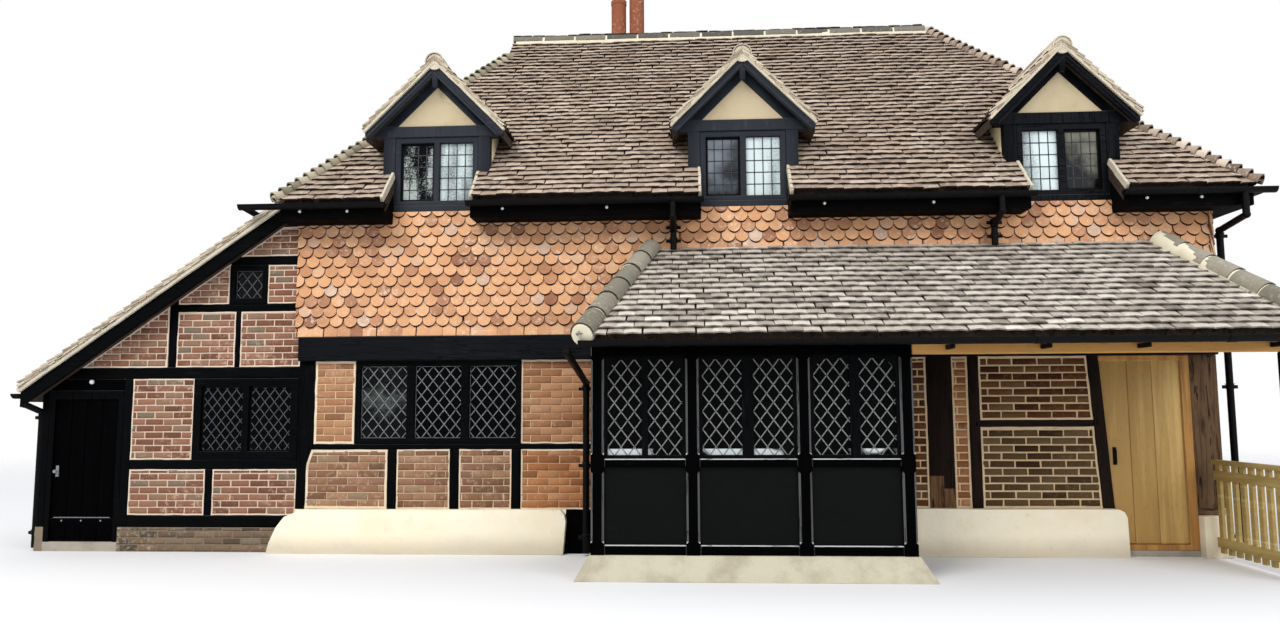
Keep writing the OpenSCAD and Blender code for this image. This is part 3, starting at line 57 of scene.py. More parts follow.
def merged_copy(node):
    """The solids of a node as a bmesh with whole flat faces."""
    bm = bmesh.new()
    bm.from_mesh(nodes[node].data)
    bmesh.ops.remove_doubles(bm, verts=bm.verts, dist=1e-5)
    bmesh.ops.dissolve_limit(bm, angle_limit=0.01, verts=bm.verts, edges=bm.edges)
    return bm


def islands(bm):
    """Lists of the vertices that hang together."""
    seen = set()
    found = []
    for start in bm.verts:
        if start in seen:
            continue
        group = [start]
        seen.add(start)
        for vert in group:
            for edge in vert.link_edges:
                other = edge.other_vert(vert)
                if other not in seen:
                    seen.add(other)
                    group.append(other)
        found.append(group)
    return found


def corners(verts):
    """Lowest and highest corner of some vertices."""
    low = Vector([min(v.co[i] for v in verts) for i in range(3)])
    high = Vector([max(v.co[i] for v in verts) for i in range(3)])
    return low, high


def solids(node):
    """The boxes of a node's separate solids, from left to right."""
    bm = merged_copy(node)
    boxes = [corners(group) for group in islands(bm)]
    bm.free()
    return sorted(boxes, key=lambda box: tuple(box[0]))


def between(start, end, share):
    """What lies a share of the way from one number or place to another."""
    return start + (end - start) * share


# Sizes read from the frame, and the few that it doesn't hold

WALL_LOW, WALL_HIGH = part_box("upper_front_wall")
HALF_X = WALL_HIGH.x
FRONT = WALL_LOW.y
BEAM_TOP = WALL_LOW.z
WALL_TOP = WALL_HIGH.z
EDGE_BACK = 0.06
ROOF_THICK = 0.18
RIDGE_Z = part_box("front_roof")[1].z
EAVE_Y = EDGE_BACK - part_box("front_roof")[0].y
LEFT_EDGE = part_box("hip_roofs")[0].x - EDGE_BACK
RIGHT_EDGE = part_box("hip_roofs")[1].x + EDGE_BACK
ROOF_PITCH = (RIDGE_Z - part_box("front_roof")[0].z - ROOF_THICK) / (EAVE_Y - EDGE_BACK)
EAVES_Z = RIDGE_Z - EAVE_Y * ROOF_PITCH
LEFT_GABLET, RIGHT_GABLET = solids("gablets")
LEFT_FOOT = Vector((LEFT_GABLET[0].x, LEFT_GABLET[0].y, LEFT_GABLET[0].z + ROOF_THICK))
RIGHT_FOOT = Vector((RIGHT_GABLET[1].x, RIGHT_GABLET[0].y, RIGHT_GABLET[0].z + ROOF_THICK))
RIDGE_END = Vector((RIGHT_GABLET[0].x, 0, RIDGE_Z))
DORMERS = [(low.x + high.x) / 2 for low, high in solids("dormer_frames")]
DORMER_HALF = 0.597
DORMER_GAP = 0.465
DORMER_ROOF_HALF = 0.77
DORMER_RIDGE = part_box("bargeboards")[1].z
VERGE_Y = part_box("bargeboards")[0].y
DORMER_VERGE_Y = -2.72
PENT_BACK = 0.03
PENT_X0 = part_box("pent_roof")[0].x - PENT_BACK
PENT_X1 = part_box("pent_roof")[1].x + PENT_BACK
PENT_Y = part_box("pent_roof")[0].y - EDGE_BACK
PENT_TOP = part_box("pent_roof")[1].z
PENT_EAVE = 2.15
PENT_INSET = 0.575
OUT_LOW, OUT_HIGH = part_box("outshot_roof")
OUT_PITCH = 0.692
OUT_EAVE = OUT_HIGH.z - (OUT_HIGH.x - OUT_LOW.x) * OUT_PITCH
BAY_LOW, BAY_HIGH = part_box("bay_posts")
DORMER_GLASS_Z = WALL_TOP + 0.45

# Width and height of a quarry, and 1 for a slanting lattice or 0 for an upright one

WALL_QUARRY = (0.127, 0.156, 1.0)
BAY_QUARRY = (0.122, 0.16, 1.0)
DORMER_QUARRY = (0.094, 0.131, 0.0)


# Finishes


def paint(red, green, blue):
    """A colour written as on a paint card, 0 to 255, as the linear values that a shader takes."""
    def linear(value):
        value /= 255
        return value / 12.92 if value <= 0.04045 else ((value + 0.055) / 1.055) ** 2.4
    return (linear(red), linear(green), linear(blue), 1.0)


class Wire:
    """A socket of a node tree. A sum written with it adds Math nodes to the tree."""

    def __init__(self, tree, socket):
        self.tree = tree
        self.socket = socket

    def maths(self, operation, first, second=0.0):
        return self.tree.node("ShaderNodeMath", {"operation": operation}, {0: first, 1: second})

    def __add__(self, other):
        return self.maths("ADD", self, other)

    def __radd__(self, other):
        return self.maths("ADD", other, self)

    def __sub__(self, other):
        return self.maths("SUBTRACT", self, other)

    def __rsub__(self, other):
        return self.maths("SUBTRACT", other, self)

    def __mul__(self, other):
        return self.maths("MULTIPLY", self, other)

    def __truediv__(self, other):
        return self.maths("DIVIDE", self, other)

    def floor(self):
        return self.maths("FLOOR", self)

    def ramp_up(self, low, high):
        """0 below low, 1 above high and smooth between."""
        settings = {"interpolation_type": "SMOOTHSTEP"}
        values = {"Value": self, "From Min": low, "From Max": high}
        return self.tree.node("ShaderNodeMapRange", settings, values)


class Tree:
    """A node tree that starts empty."""

    def __init__(self, owner):
        owner.use_nodes = True
        self.nodes = owner.node_tree.nodes
        self.links = owner.node_tree.links
        self.nodes.clear()

    def node(self, kind, settings=None, values=None, output=0):
        """Adds a node with its settings and socket values or links, and returns one output."""
        made = self.nodes.new(kind)
        for key, value in (settings or {}).items():
            if key == "stops":
                self.set_stops(made.color_ramp, value)
            else:
                setattr(made, key, value)
        for key, value in (values or {}).items():
            self.connect(made.inputs[key], value)
        return Wire(self, made.outputs[output])

    def set_stops(self, ramp, stops):
        """Fills a colour ramp: each stop is a position and a colour as on a paint card."""
        while len(ramp.elements) < len(stops):
            ramp.elements.new(0.5)
        for element, (position, *colour) in zip(ramp.elements, stops):
            element.position = position
            element.color = paint(*colour)

    def connect(self, socket, value):
        if isinstance(value, Wire):
            self.links.new(value.socket, socket)
        else:
            socket.default_value = value


class Finish(Tree):
    """A procedural finish on one Principled shader."""

    def __init__(self, name, roughness=0.8, metallic=0.0, specular=0.5):
        self.material = bpy.data.materials.new(name)
        super().__init__(self.material)
        self.end = self.nodes.new("ShaderNodeOutputMaterial")
        self.shader = self.nodes.new("ShaderNodeBsdfPrincipled")
        self.links.new(self.shader.outputs[0], self.end.inputs["Surface"])
        self.feed("Roughness", roughness)
        self.feed("Metallic", metallic)
        self.feed("Specular IOR Level", specular)
        self.place = self.node("ShaderNodeTexCoord", output="Object")

    def feed(self, socket, value):
        self.connect(self.shader.inputs[socket], value)

    def axis(self, name):
        """One coordinate of the place."""
        return self.node("ShaderNodeSeparateXYZ", None, {0: self.place}, name)

    def ramp(self, factor, stops):
        return self.node("ShaderNodeValToRGB", {"stops": stops}, {"Fac": factor})

    def mix(self, factor, first, second, blend="MIX"):
        """Mixes two colours, each from another node or as on a paint card."""
        settings = {"data_type": "RGBA", "blend_type": blend}
        first, second = (c if isinstance(c, Wire) else paint(*c) for c in (first, second))
        return self.node("ShaderNodeMix", settings, {0: factor, 6: first, 7: second}, 2)

    def vector(self, operation, first, second, output=0):
        settings = {"operation": operation}
        return self.node("ShaderNodeVectorMath", settings, {0: first, 1: second}, output)

    def scaled(self, place, factor):
        settings = {"operation": "SCALE"}
        return self.node("ShaderNodeVectorMath", settings, {0: place, "Scale": factor})

    def noise(self, scale, detail=4.0, roughness=0.55, place=None, distortion=0.0):
        values = {"Vector": place or self.place, "Scale": scale, "Detail": detail,
            "Roughness": roughness, "Distortion": distortion}
        return self.node("ShaderNodeTexNoise", None, values)

    def attribute(self, name, output="Fac"):
        return self.node("ShaderNodeAttribute", {"attribute_name": name}, None, output)

    def upward(self):
        """How far a face looks up, 0 on walls and 1 on level tops."""
        normal = self.node("ShaderNodeNewGeometry", output="Normal")
        return self.node("ShaderNodeSeparateXYZ", None, {0: normal}, "Z")

    def bump(self, height, distance):
        self.feed("Normal", self.node("ShaderNodeBump", None, {"Height": height, "Distance": distance}))


def grain_place(finish, squeeze=0.93):
    """Object coordinates pressed together along each timber's own length."""
    run = finish.attribute("run", "Vector")
    along = finish.vector("DOT_PRODUCT", finish.place, run, "Value")
    return finish.vector("SUBTRACT", finish.place, finish.scaled(run, along * squeeze))


def clay(name, stops, bloom=0.35, bloom_colour=(206, 196, 178), edge=0.8, under=(0.2, 0.55),
        cover=(0.45, 0.72), shade=0.0):
    """Fired clay: one tone to each piece, stains, pale bloom, painted shade below and painted shadow under
    the next course.
    """
    f = Finish(name, 0.9, specular=0.12)
    patches = f.noise(6.0, 5.0)
    wide = f.noise(0.8, 3.0)
    base = f.ramp(f.attribute("tone") + (patches - 0.5) * 0.35 + (wide - 0.5) * 0.3, stops)
    grit = f.noise(75.0, 4.0, 0.7)
    base = f.mix(grit.ramp_up(0.4, 0.75) * 0.3, base, (150, 130, 116), "MULTIPLY")
    cloud = f.noise(26.0, 4.0, 0.6)
    pale = cloud.ramp_up(0.5, 0.7) * f.noise(2.1, 2.0).ramp_up(0.35, 0.6) * bloom
    base = f.mix(pale, base, bloom_colour)
    # Painted shadow: the part of a tile that the course above covers is darkened, as the tile above shades
    # it.
    if shade:
        painted_cover_shadow = (f.attribute("reach") + (cloud - 0.5) * 0.2).ramp_up(*cover) * shade
        base = f.mix(painted_cover_shadow, base, (44, 34, 28))
    # Painted shade: faces that look down are darkened towards dark brown, as tile butts and rims lie in
    # shade.
    darkening = (0.0 - f.upward()).ramp_up(*under) * edge
    f.feed("Base Color", f.mix(darkening, base, (34, 22, 16)))
    f.bump(f.noise(140.0, 4.0, 0.6) + cloud * 0.6, 0.003)
    return f.material


def mortar(name, colour, darkening):
    f = Finish(name, 0.95, specular=0.2)
    patches = f.noise(7.0, 5.0)
    # Dirty patches in the darker colour.
    base = f.mix(patches.ramp_up(0.45, 0.8) * 0.45, colour, darkening)
    f.feed("Base Color", f.mix(f.noise(230.0, 2.0).ramp_up(0.5, 0.8) * 0.25, base, (110, 98, 84)))
    f.bump(f.noise(160.0, 4.0, 0.65) + patches * 2.0, 0.004)
    return f.material


def panel_mortar(name, colours):
    """Pointing that differs from panel to panel; colours lists where along the wall each colour starts."""
    f = Finish(name, 0.95, specular=0.1)
    x = f.axis("X")
    patches = f.noise(6.0, 5.0)
    base = colours[0][1]
    for start, colour in colours[1:]:
        base = f.mix((x - start).ramp_up(0.0, 0.05), base, colour)
    base = f.mix(patches.ramp_up(0.45, 0.8) * 0.35, base, (150, 120, 96))
    f.feed("Base Color", base)
    f.bump(f.noise(160.0, 4.0, 0.65) + patches * 2.0, 0.004)
    return f.material


def limewash(name, colour, stain, foot=0.0):
    """Trowelled render with soft hollows and, where foot is set, darker low down."""
    f = Finish(name, 0.9, specular=0.25)
    patches = f.noise(2.2, 5.0, 0.6)
    trowel = f.noise(9.0, 3.0, 0.5)
    base = f.mix(patches.ramp_up(0.4, 0.75) * 0.55, colour, stain)
    base = f.mix(trowel.ramp_up(0.62, 0.75) * 0.12, base, (140, 120, 96))
    if foot:
        # Darker towards the ground.
        low_darkening = (1 - (f.axis("Z") + (patches - 0.5) * 0.2).ramp_up(0.02, foot)) * 0.4
        base = f.mix(low_darkening, base, (138, 120, 98))
    f.feed("Base Color", base)
    f.feed("Roughness", 0.84 + trowel * 0.12)
    f.bump(trowel * 1.4 + f.noise(120.0, 3.0) * 0.25, 0.006)
    return f.material


def black_paint(name, colour, gloss=0.5, shine=0.12, dust_and_sheen=0.4, wear=0.25, worn_colour=(84, 82, 82),
        split=0.7):
    """Dark paint over old timber: long splits, grain, and a paler top that is partly dust and partly a
    painted sheen.
    """
    f = Finish(name, gloss, specular=shine)
    place = grain_place(f)
    grain = f.noise(60.0, 5.0, 0.6, place)
    splits = f.noise(16.0, 3.0, 0.5, place, 0.6)
    crack = splits.ramp_up(0.485, 0.5) * (1 - splits.ramp_up(0.5, 0.515))
    worn = f.noise(4.0, 4.0).ramp_up(0.5, 0.75) * grain.ramp_up(0.5, 0.65) * wear
    base = f.mix(worn, colour, worn_colour)
    base = f.mix(crack * split, base, (2, 2, 3))
    # Faces that look up turn paler: partly dust, partly a painted sheen where they catch the light.
    base = f.mix(f.upward().ramp_up(0.45, 0.95) * dust_and_sheen, base, (140, 140, 138))
    f.feed("Base Color", base)
    f.feed("Roughness", gloss + worn * 0.8 + f.noise(11.0, 3.0) * 0.15)
    f.bump(grain * 0.5 - crack * 2.3 * split, 0.004)
    return f.material


def oak(name, light, dark, roughness=0.62, knots=0.9):
    """Sawn oak with long figure, pores and a few knots, one tone to each board."""
    f = Finish(name, roughness, specular=0.35)
    place = grain_place(f, 0.94)
    figure = f.noise(9.0, 5.0, 0.6, place, 1.2)
    pores = f.noise(150.0, 3.0, 0.6, place)
    tone = f.attribute("tone")
    base = f.mix((figure + (tone - 0.5) * 0.5).ramp_up(0.3, 0.75), light, dark)
    base = f.mix(pores.ramp_up(0.55, 0.7) * 0.3, base, (92, 58, 30))
    spots = f.node("ShaderNodeTexVoronoi", None, {"Vector": grain_place(f, 0.6), "Scale": 2.6}, "Distance")
    knot = (1 - spots.ramp_up(0.03, 0.085)) * knots
    base = f.mix(knot, base, (74, 44, 24))
    f.feed("Base Color", base)
    f.feed("Roughness", roughness + pores * 0.15)
    f.bump(figure * 0.5 + pores * 0.3 - knot * 0.3, 0.0025)
    return f.material


def old_oak(name, light, dark, gaps=1.0):
    """Weathered oak: grey-brown, deeply split along the grain."""
    f = Finish(name, 0.88, specular=0.2)
    place = grain_place(f)
    streak = f.noise(20.0, 6.0, 0.65, place, 0.8)
    fine = f.noise(110.0, 4.0, 0.6, place)
    base = f.ramp(streak, [(0.3, *dark), (0.52, *light), (0.75, *dark)])
    crack = streak.ramp_up(0.57, 0.6) * (1 - streak.ramp_up(0.6, 0.63)) * gaps
    base = f.mix(fine.ramp_up(0.5, 0.7) * 0.4, base, dark)
    f.feed("Base Color", f.mix(crack, base, (18, 12, 9)))
    f.bump(streak * 0.8 + fine * 0.3 - crack * 1.5, 0.007)
    return f.material


def iron(name, colour, roughness=0.38, pits=0.3, shine=0.3):
    f = Finish(name, roughness, specular=shine)
    patches = f.noise(24.0, 4.0)
    base = f.mix(patches.ramp_up(0.55, 0.8) * 0.15, colour, (70, 64, 58))
    base = f.mix(f.upward().ramp_up(0.5, 0.95) * 0.2, base, (128, 128, 126))
    f.feed("Base Color", base)
    f.feed("Roughness", roughness + patches * 0.2)
    f.bump(f.noise(220.0, 3.0) * pits, 0.002)
    return f.material


def lead(name, bright, dark):
    f = Finish(name, 0.55, metallic=0.1)
    dull = f.noise(40.0, 3.0)
    f.feed("Base Color", f.mix(dull.ramp_up(0.35, 0.7), bright, dark))
    f.bump(f.noise(300.0, 2.0), 0.001)
    return f.material


def quarry_glass(name, quarry, pale_colour, low, top, shine=0.2, sill=0.0, speck=34.0, drape=1.0, climb=0.0):
    """Old glass in small quarries, each at its own slight angle. Up to sill a pale board shows through,
    and with climb the dormers' glass pales upwards, a painted reflection of the sky."""
    wide, high, slant = quarry
    f = Finish(name, 0.06, specular=shine)
    level = f.axis("Z")
    across = (f.axis("X") + f.axis("Y")) / wide
    up = level / high
    one = (across + up * slant).floor()
    two = (up - across * slant).floor()
    key = f.node("ShaderNodeCombineXYZ", None, {0: one, 1: two})
    pick = f.node("ShaderNodeTexWhiteNoise", {"noise_dimensions": "3D"}, {"Vector": key}, "Value")
    tint = f.node("ShaderNodeTexWhiteNoise", {"noise_dimensions": "3D"}, {"Vector": key}, "Color")
    haze = f.noise(1.7, 2.0, 0.5, f.vector("MULTIPLY", f.place, (drape, drape, 1 / drape)))
    leaves = f.noise(speck, 5.0, 0.7)
    # Painted reflection: the glass pales towards its top, as the sky shows in it.
    sky_reflection_rise = (level - DORMER_GLASS_Z) * climb
    pale = (haze + leaves * 0.45 + pick * 0.05 + sky_reflection_rise).ramp_up(low, top)
    base = f.mix(pale, (5, 6, 7), pale_colour)
    if sill:
        board = (1 - level.ramp_up(sill - 0.002, sill + 0.002)) * haze.ramp_up(0.44, 0.47)
        base = f.mix(board, base, (190, 198, 198))
    f.feed("Base Color", base)
    f.feed("Roughness", 0.04 + pick * 0.12)
    lean = f.vector("SUBTRACT", tint, (0.5, 0.5, 0.5))
    normal = f.node("ShaderNodeNewGeometry", output="Normal")
    tilted = f.vector("ADD", normal, f.scaled(lean, 0.05))
    f.feed("Normal", f.vector("NORMALIZE", tilted, (0, 0, 0)))
    return f.material


def stone(name, colour, dark):
    f = Finish(name, 0.85, specular=0.3)
    cloud = f.noise(3.5, 6.0, 0.62)
    grit = f.noise(90.0, 4.0, 0.7)
    base = f.mix(cloud.ramp_up(0.42, 0.72) * 0.7, colour, dark)
    base = f.mix(grit.ramp_up(0.55, 0.75) * 0.35, base, (104, 94, 80))
    f.feed("Base Color", base)
    f.bump(grit + cloud, 0.005)
    return f.material


WALL_CLAY = clay("wall_tile_clay", [(0.0, 148, 102, 78), (0.2, 182, 132, 100), (0.4, 208, 155, 115),
    (0.6, 222, 168, 124), (0.78, 226, 176, 134), (0.9, 204, 172, 150), (1.0, 230, 210, 188)], bloom=0.7,
    bloom_colour=(226, 206, 186), edge=0.97, under=(-0.05, 0.3), cover=(0.6, 0.86), shade=0.5)
# Dark clay for the scales' rims: a painted shadow under each scale.
RIM_SHADOW_CLAY = clay("wall_tile_rim_painted_shadow", [(0.0, 86, 46, 31), (1.0, 124, 74, 52)], bloom=0.1)
ROOF_CLAY = clay("roof_tile_clay", [(0.0, 118, 100, 88), (0.3, 154, 135, 119), (0.6, 178, 159, 141),
    (0.85, 202, 185, 167), (1.0, 222, 206, 188)], bloom=0.6, bloom_colour=(232, 219, 204), edge=0.96,
    shade=0.8)
PENT_CLAY = clay("pent_tile_clay", [(0.0, 130, 120, 110), (0.3, 170, 160, 148), (0.6, 196, 186, 173),
    (0.85, 212, 202, 190), (1.0, 232, 224, 212)], bloom=0.55, bloom_colour=(240, 234, 222), edge=0.96,
    shade=0.75)
PENT_CAP_CLAY = clay("pent_cap_clay", [(0.0, 118, 114, 100), (0.5, 140, 135, 120), (1.0, 162, 156, 140)],
    bloom=0.4)
VERGE_CLAY = clay("verge_tile_clay", [(0.0, 150, 134, 114), (0.5, 186, 172, 150), (1.0, 212, 200, 178)],
    bloom=0.4, bloom_colour=(226, 216, 196), edge=0.8)
CAP_CLAY = clay("cap_tile_clay", [(0.0, 84, 82, 76), (0.5, 106, 103, 94), (1.0, 130, 126, 114)],
    bloom=0.25)
HIP_CLAY = clay("hip_tile_clay", [(0.0, 132, 124, 106), (0.5, 164, 154, 132), (1.0, 196, 188, 164)],
    bloom=0.4)
RED_BRICK = clay("red_brick", [(0.0, 110, 82, 64), (0.3, 134, 98, 76), (0.6, 150, 112, 88),
    (0.85, 160, 124, 98), (1.0, 142, 122, 98)], bloom=0.5, bloom_colour=(200, 172, 144), edge=0.5)
PALE_BRICK = clay("pale_brick", [(0.0, 108, 72, 56), (0.35, 134, 92, 72), (0.6, 150, 108, 86),
    (0.8, 142, 112, 90), (1.0, 118, 106, 90)], bloom=0.7, bloom_colour=(198, 170, 146), edge=0.5)
ORANGE_BRICK = clay("orange_brick", [(0.0, 140, 90, 58), (0.4, 168, 110, 70), (0.8, 180, 124, 82),
    (1.0, 186, 138, 102)], bloom=0.35, bloom_colour=(214, 170, 128), edge=0.4)
TAN_BRICK = clay("tan_brick", [(0.0, 136, 94, 68), (0.4, 166, 118, 85), (0.8, 176, 130, 95),
    (1.0, 182, 140, 108)], bloom=0.5, bloom_colour=(208, 172, 138), edge=0.4)
OLIVE_BRICK = clay("olive_brick", [(0.0, 58, 42, 26), (0.3, 78, 60, 40), (0.6, 92, 73, 50),
    (1.0, 106, 88, 62)], bloom=0.3, bloom_colour=(140, 118, 88), edge=0.4)
BROWN_BRICK = clay("brown_brick", [(0.0, 64, 34, 22), (0.4, 90, 54, 32), (0.8, 104, 68, 42),
    (1.0, 112, 84, 58)], bloom=0.3, bloom_colour=(150, 116, 82), edge=0.4)
POT_CLAY = clay("pot_clay", [(0.0, 150, 90, 66), (1.0, 188, 122, 92)], bloom=0.4)
PANEL_MORTAR = panel_mortar("panel_mortar", [(-9.0, (214, 190, 170)), (-HALF_X, (212, 186, 150)),
    (BAY_LOW.x - 0.75, (208, 170, 130)), (BAY_HIGH.x, (222, 192, 150))])
VERGE_MORTAR = mortar("verge_mortar", (206, 196, 176), (160, 148, 126))
EDGE_MORTAR = panel_mortar("edge_mortar", [(-9.0, (222, 204, 184)), (-HALF_X, (226, 208, 180)),
    (BAY_HIGH.x, (226, 200, 162))])
CAP_MORTAR = mortar("cap_mortar", (236, 228, 202), (204, 192, 158))
GREY_BRICK = clay("base_brick", [(0.0, 84, 72, 60), (0.4, 112, 94, 76), (0.75, 132, 108, 84),
    (1.0, 124, 110, 94)], bloom=0.5)
BASE_MORTAR = mortar("base_mortar", (134, 120, 102), (96, 86, 74))
PLINTH = limewash("plinth_render", (248, 238, 214), (238, 220, 184), foot=0.25)
CHEEK = limewash("cheek_render", (238, 226, 186), (214, 198, 158))
PANEL = limewash("gable_render", (196, 180, 148), (178, 158, 122))
BAY_STONE = stone("bay_stone", (196, 189, 166), (160, 150, 128))
BLACK = black_paint("frame_paint", (3, 4, 5), gloss=0.5, shine=0.04, dust_and_sheen=0.2, wear=0.08)
BEAM_BLACK = black_paint("beam_paint", (8, 10, 15), gloss=0.45, shine=0.09, dust_and_sheen=0.3, wear=0.14)
# The dormers' black paint, lifted to a slate grey: a painted sky sheen.
SHEEN_BLACK = black_paint("dormer_paint_painted_sheen", (33, 38, 45), gloss=0.5, shine=0.2, dust_and_sheen=0.35, wear=0.3,
    worn_colour=(92, 98, 106), split=0.1)
DEEP_BLACK = black_paint("eaves_paint", (4, 3, 3), gloss=0.7, shine=0.04, dust_and_sheen=0.1, wear=0.06)
LEAF_BLACK = black_paint("leaf_paint", (1, 1, 2), gloss=0.5, shine=0.02, dust_and_sheen=0.1, wear=0.02)
PANEL_BLACK = black_paint("bay_panel_paint", (8, 9, 9), gloss=0.45, shine=0.07, dust_and_sheen=0.0, wear=0.04,
    split=0.1)
# Pale paint for the bay's chamfers: a painted sheen where they face aside, a painted highlight where they
# face up.
SHEEN_EDGE = black_paint("painted_sheen_edge", (84, 85, 84), gloss=0.5, shine=0.2, dust_and_sheen=0.3, wear=0.5)
HIGHLIGHT_EDGE = black_paint("sill_painted_highlight", (186, 188, 184), gloss=0.6, shine=0.3, dust_and_sheen=0.3, wear=0.4)
LIGHT_OAK = oak("light_oak", (194, 143, 76), (146, 100, 48))
DOOR_OAK = oak("door_oak", (214, 176, 108), (182, 144, 82), roughness=0.55)
DARK_OAK = old_oak("dark_oak", (32, 18, 11), (13, 8, 5))
GREY_OAK = old_oak("weathered_oak", (108, 82, 58), (52, 37, 25))
PATCH_OAK = old_oak("patched_oak", (120, 88, 58), (66, 46, 30))
RAIL_OAK = oak("rail_oak", (206, 184, 124), (160, 136, 80), roughness=0.75, knots=0.5)
IRON = iron("black_iron", (4, 4, 5), roughness=0.4, pits=0.3, shine=0.1)
GREY_IRON = iron("grey_iron", (128, 132, 136), roughness=0.45)
PALE_IRON = iron("pale_iron", (226, 228, 230), roughness=0.6)
LEAD = lead("pale_lead", (128, 127, 124), (90, 89, 87))
DULL_LEAD = lead("dull_lead", (132, 134, 134), (84, 86, 88))
DIM_LEAD = lead("dim_lead", (84, 86, 88), (52, 54, 56))
DARK_LEAD = lead("dark_lead", (46, 50, 52), (22, 24, 26))
DARK_GLASS = quarry_glass("dark_glass", WALL_QUARRY, (46, 46, 38), low=1.0, top=1.35, shine=0.05)
BAY_GLASS = quarry_glass("bay_glass", BAY_QUARRY, (54, 52, 46), low=0.95, top=1.3, shine=0.05, sill=1.152)
MILKY_GLASS = quarry_glass("milky_glass", WALL_QUARRY, (120, 130, 126), low=0.8, top=1.3, shine=0.2)
SKY_GLASS = quarry_glass("sky_glass", DORMER_QUARRY, (206, 220, 220), low=0.5, top=0.92, shine=0.3,
    speck=48.0, drape=2.2)
SPECKLED_GLASS = quarry_glass("speckled_glass", DORMER_QUARRY, (168, 176, 172), low=0.66, top=0.8,
    shine=0.1, speck=52.0, drape=1.6)
GREY_GLASS = quarry_glass("grey_glass", DORMER_QUARRY, (118, 125, 133), low=0.52, top=0.95, shine=0.2,
    speck=2.5, climb=0.7)
SHADED_GLASS = quarry_glass("shaded_glass", DORMER_QUARRY, (116, 114, 102), low=0.68, top=0.95, shine=0.1,
    speck=3.0, climb=0.3)
BACKING = old_oak("roof_boards", (70, 58, 48), (40, 32, 26), gaps=0.6)
FLOOR_STONE = stone("floor_stone", (168, 160, 146), (132, 122, 108))
FLOOR_OAK = oak("floor_oak", (150, 110, 70), (112, 78, 46), roughness=0.5, knots=0.3)


# Making and placing shapes


def mesh_of(bm, name):
    """Turns a bmesh into a mesh."""
    mesh = bpy.data.meshes.new(name)
    bm.to_mesh(mesh)
    bm.free()
    return mesh


def add_object(name, data):
    """Puts a new object in the scene."""
    made = bpy.data.objects.new(name, data)
    bpy.context.scene.collection.objects.link(made)
    return made


def piece(bm, name, finishes, body="house", angle=35, stands_for=()):
    """Turns a bmesh into a finished piece that rides on a body."""
    mesh = mesh_of(bm, name)
    for finish in finishes:
        mesh.materials.append(finish)
    mesh.shade_smooth()
    mesh.set_sharp_from_angle(angle=math.radians(angle))
    made = add_object(name, mesh)
    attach(made, body)
    if stands_for:
        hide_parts(*stands_for)


def dress(finish, *names):
    """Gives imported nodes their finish."""
    for name in names:
        mesh = nodes[name].data
        mesh.materials.clear()
        mesh.materials.append(finish)


def new_field():
    """An empty bmesh to fill with copies."""
    bm = bmesh.new()
    add_values(bm)
    return bm


def add_values(bm):
    """Lets vertices hold a tone, how far up its tile each lies and the grain's direction."""
    for layers, name in ((bm.verts.layers.float, "tone"), (bm.verts.layers.float, "reach"),
            (bm.verts.layers.float_vector, "run")):
        if name not in layers:
            layers.new(name)


def set_kind(group, index):
    """Gives a solid one of its piece's finishes."""
    for vert in group:
        for face in vert.link_faces:
            face.material_index = index


def long_axis(size):
    return (X, Y, Z)[max(range(3), key=lambda i: size[i])]


def turned(x, y, z):
    """Matrix that turns the axes to three directions."""
    return Matrix((x, y, z)).transposed().to_4x4()


def turned_along(run, up):
    """Matrix that turns +X along a run and +Z as nearly as it can to up."""
    across = up.cross(run).normalized()
    return turned(run, across, run.cross(across))


def facing(run, axis="Z"):
    """Matrix that points an axis along a direction."""
    return run.to_track_quat(axis, "Y").to_matrix().to_4x4()


def shape_mesh(bm, name):
    """Keeps a small bmesh as a shape to copy."""
    add_values(bm)
    bmesh.ops.recalc_face_normals(bm, faces=bm.faces)
    return mesh_of(bm, name)


def cut_across(bm, point, normal, clear=False):
    """Cuts a bmesh along a plane and, with clear, takes away what lies beyond."""
    geom = bm.verts[:] + bm.edges[:] + bm.faces[:]
    return bmesh.ops.bisect_plane(bm, geom=geom, plane_co=point, plane_no=normal, clear_outer=clear,
        dist=1e-5)


def trim(bm, point, normal):
    """Cuts away what lies beyond a plane and closes the cut."""
    cut = cut_across(bm, point, normal, True)
    edges = [part for part in cut["geom_cut"] if isinstance(part, bmesh.types.BMEdge)]
    if edges:
        bmesh.ops.holes_fill(bm, edges=edges, sides=0)


def ease(bm, edges, width, segments=1, clamp=False):
    """Takes the sharpness off edges."""
    bmesh.ops.bevel(bm, geom=edges, offset=width, segments=segments, profile=0.5, affect="EDGES",
        clamp_overlap=clamp, material=-1)


def sharp_edges(bm, degrees=28):
    return [e for e in bm.edges if e.is_manifold and e.calc_face_angle() > math.radians(degrees)]


def box_of(size, middle=(0, 0, 0)):
    """A box as a bmesh."""
    bm = bmesh.new()
    bmesh.ops.create_cube(bm, size=1.0)
    bmesh.ops.scale(bm, verts=bm.verts, vec=size)
    bmesh.ops.translate(bm, verts=bm.verts, vec=middle)
    return bm


def add_copy(bm, shape, matrix, tone=0.5, run=Z, cuts=(), index=0):
    """Adds a copy of a shape, trimmed by the planes of cuts, to the bmesh."""
    copy = shape.copy()
    copy.transform(matrix)
    count = len(copy.vertices)
    copy.attributes["tone"].data.foreach_set("value", [tone] * count)
    copy.attributes["run"].data.foreach_set("vector", list(run) * count)
    if index:
        copy.polygons.foreach_set("material_index", [index] * len(copy.polygons))
    if cuts:
        part = bmesh.new()
        part.from_mesh(copy)
        for point, normal in cuts:
            trim(part, point, normal)
        part.to_mesh(copy)
        part.free()
    bm.from_mesh(copy)
    bpy.data.meshes.remove(copy)


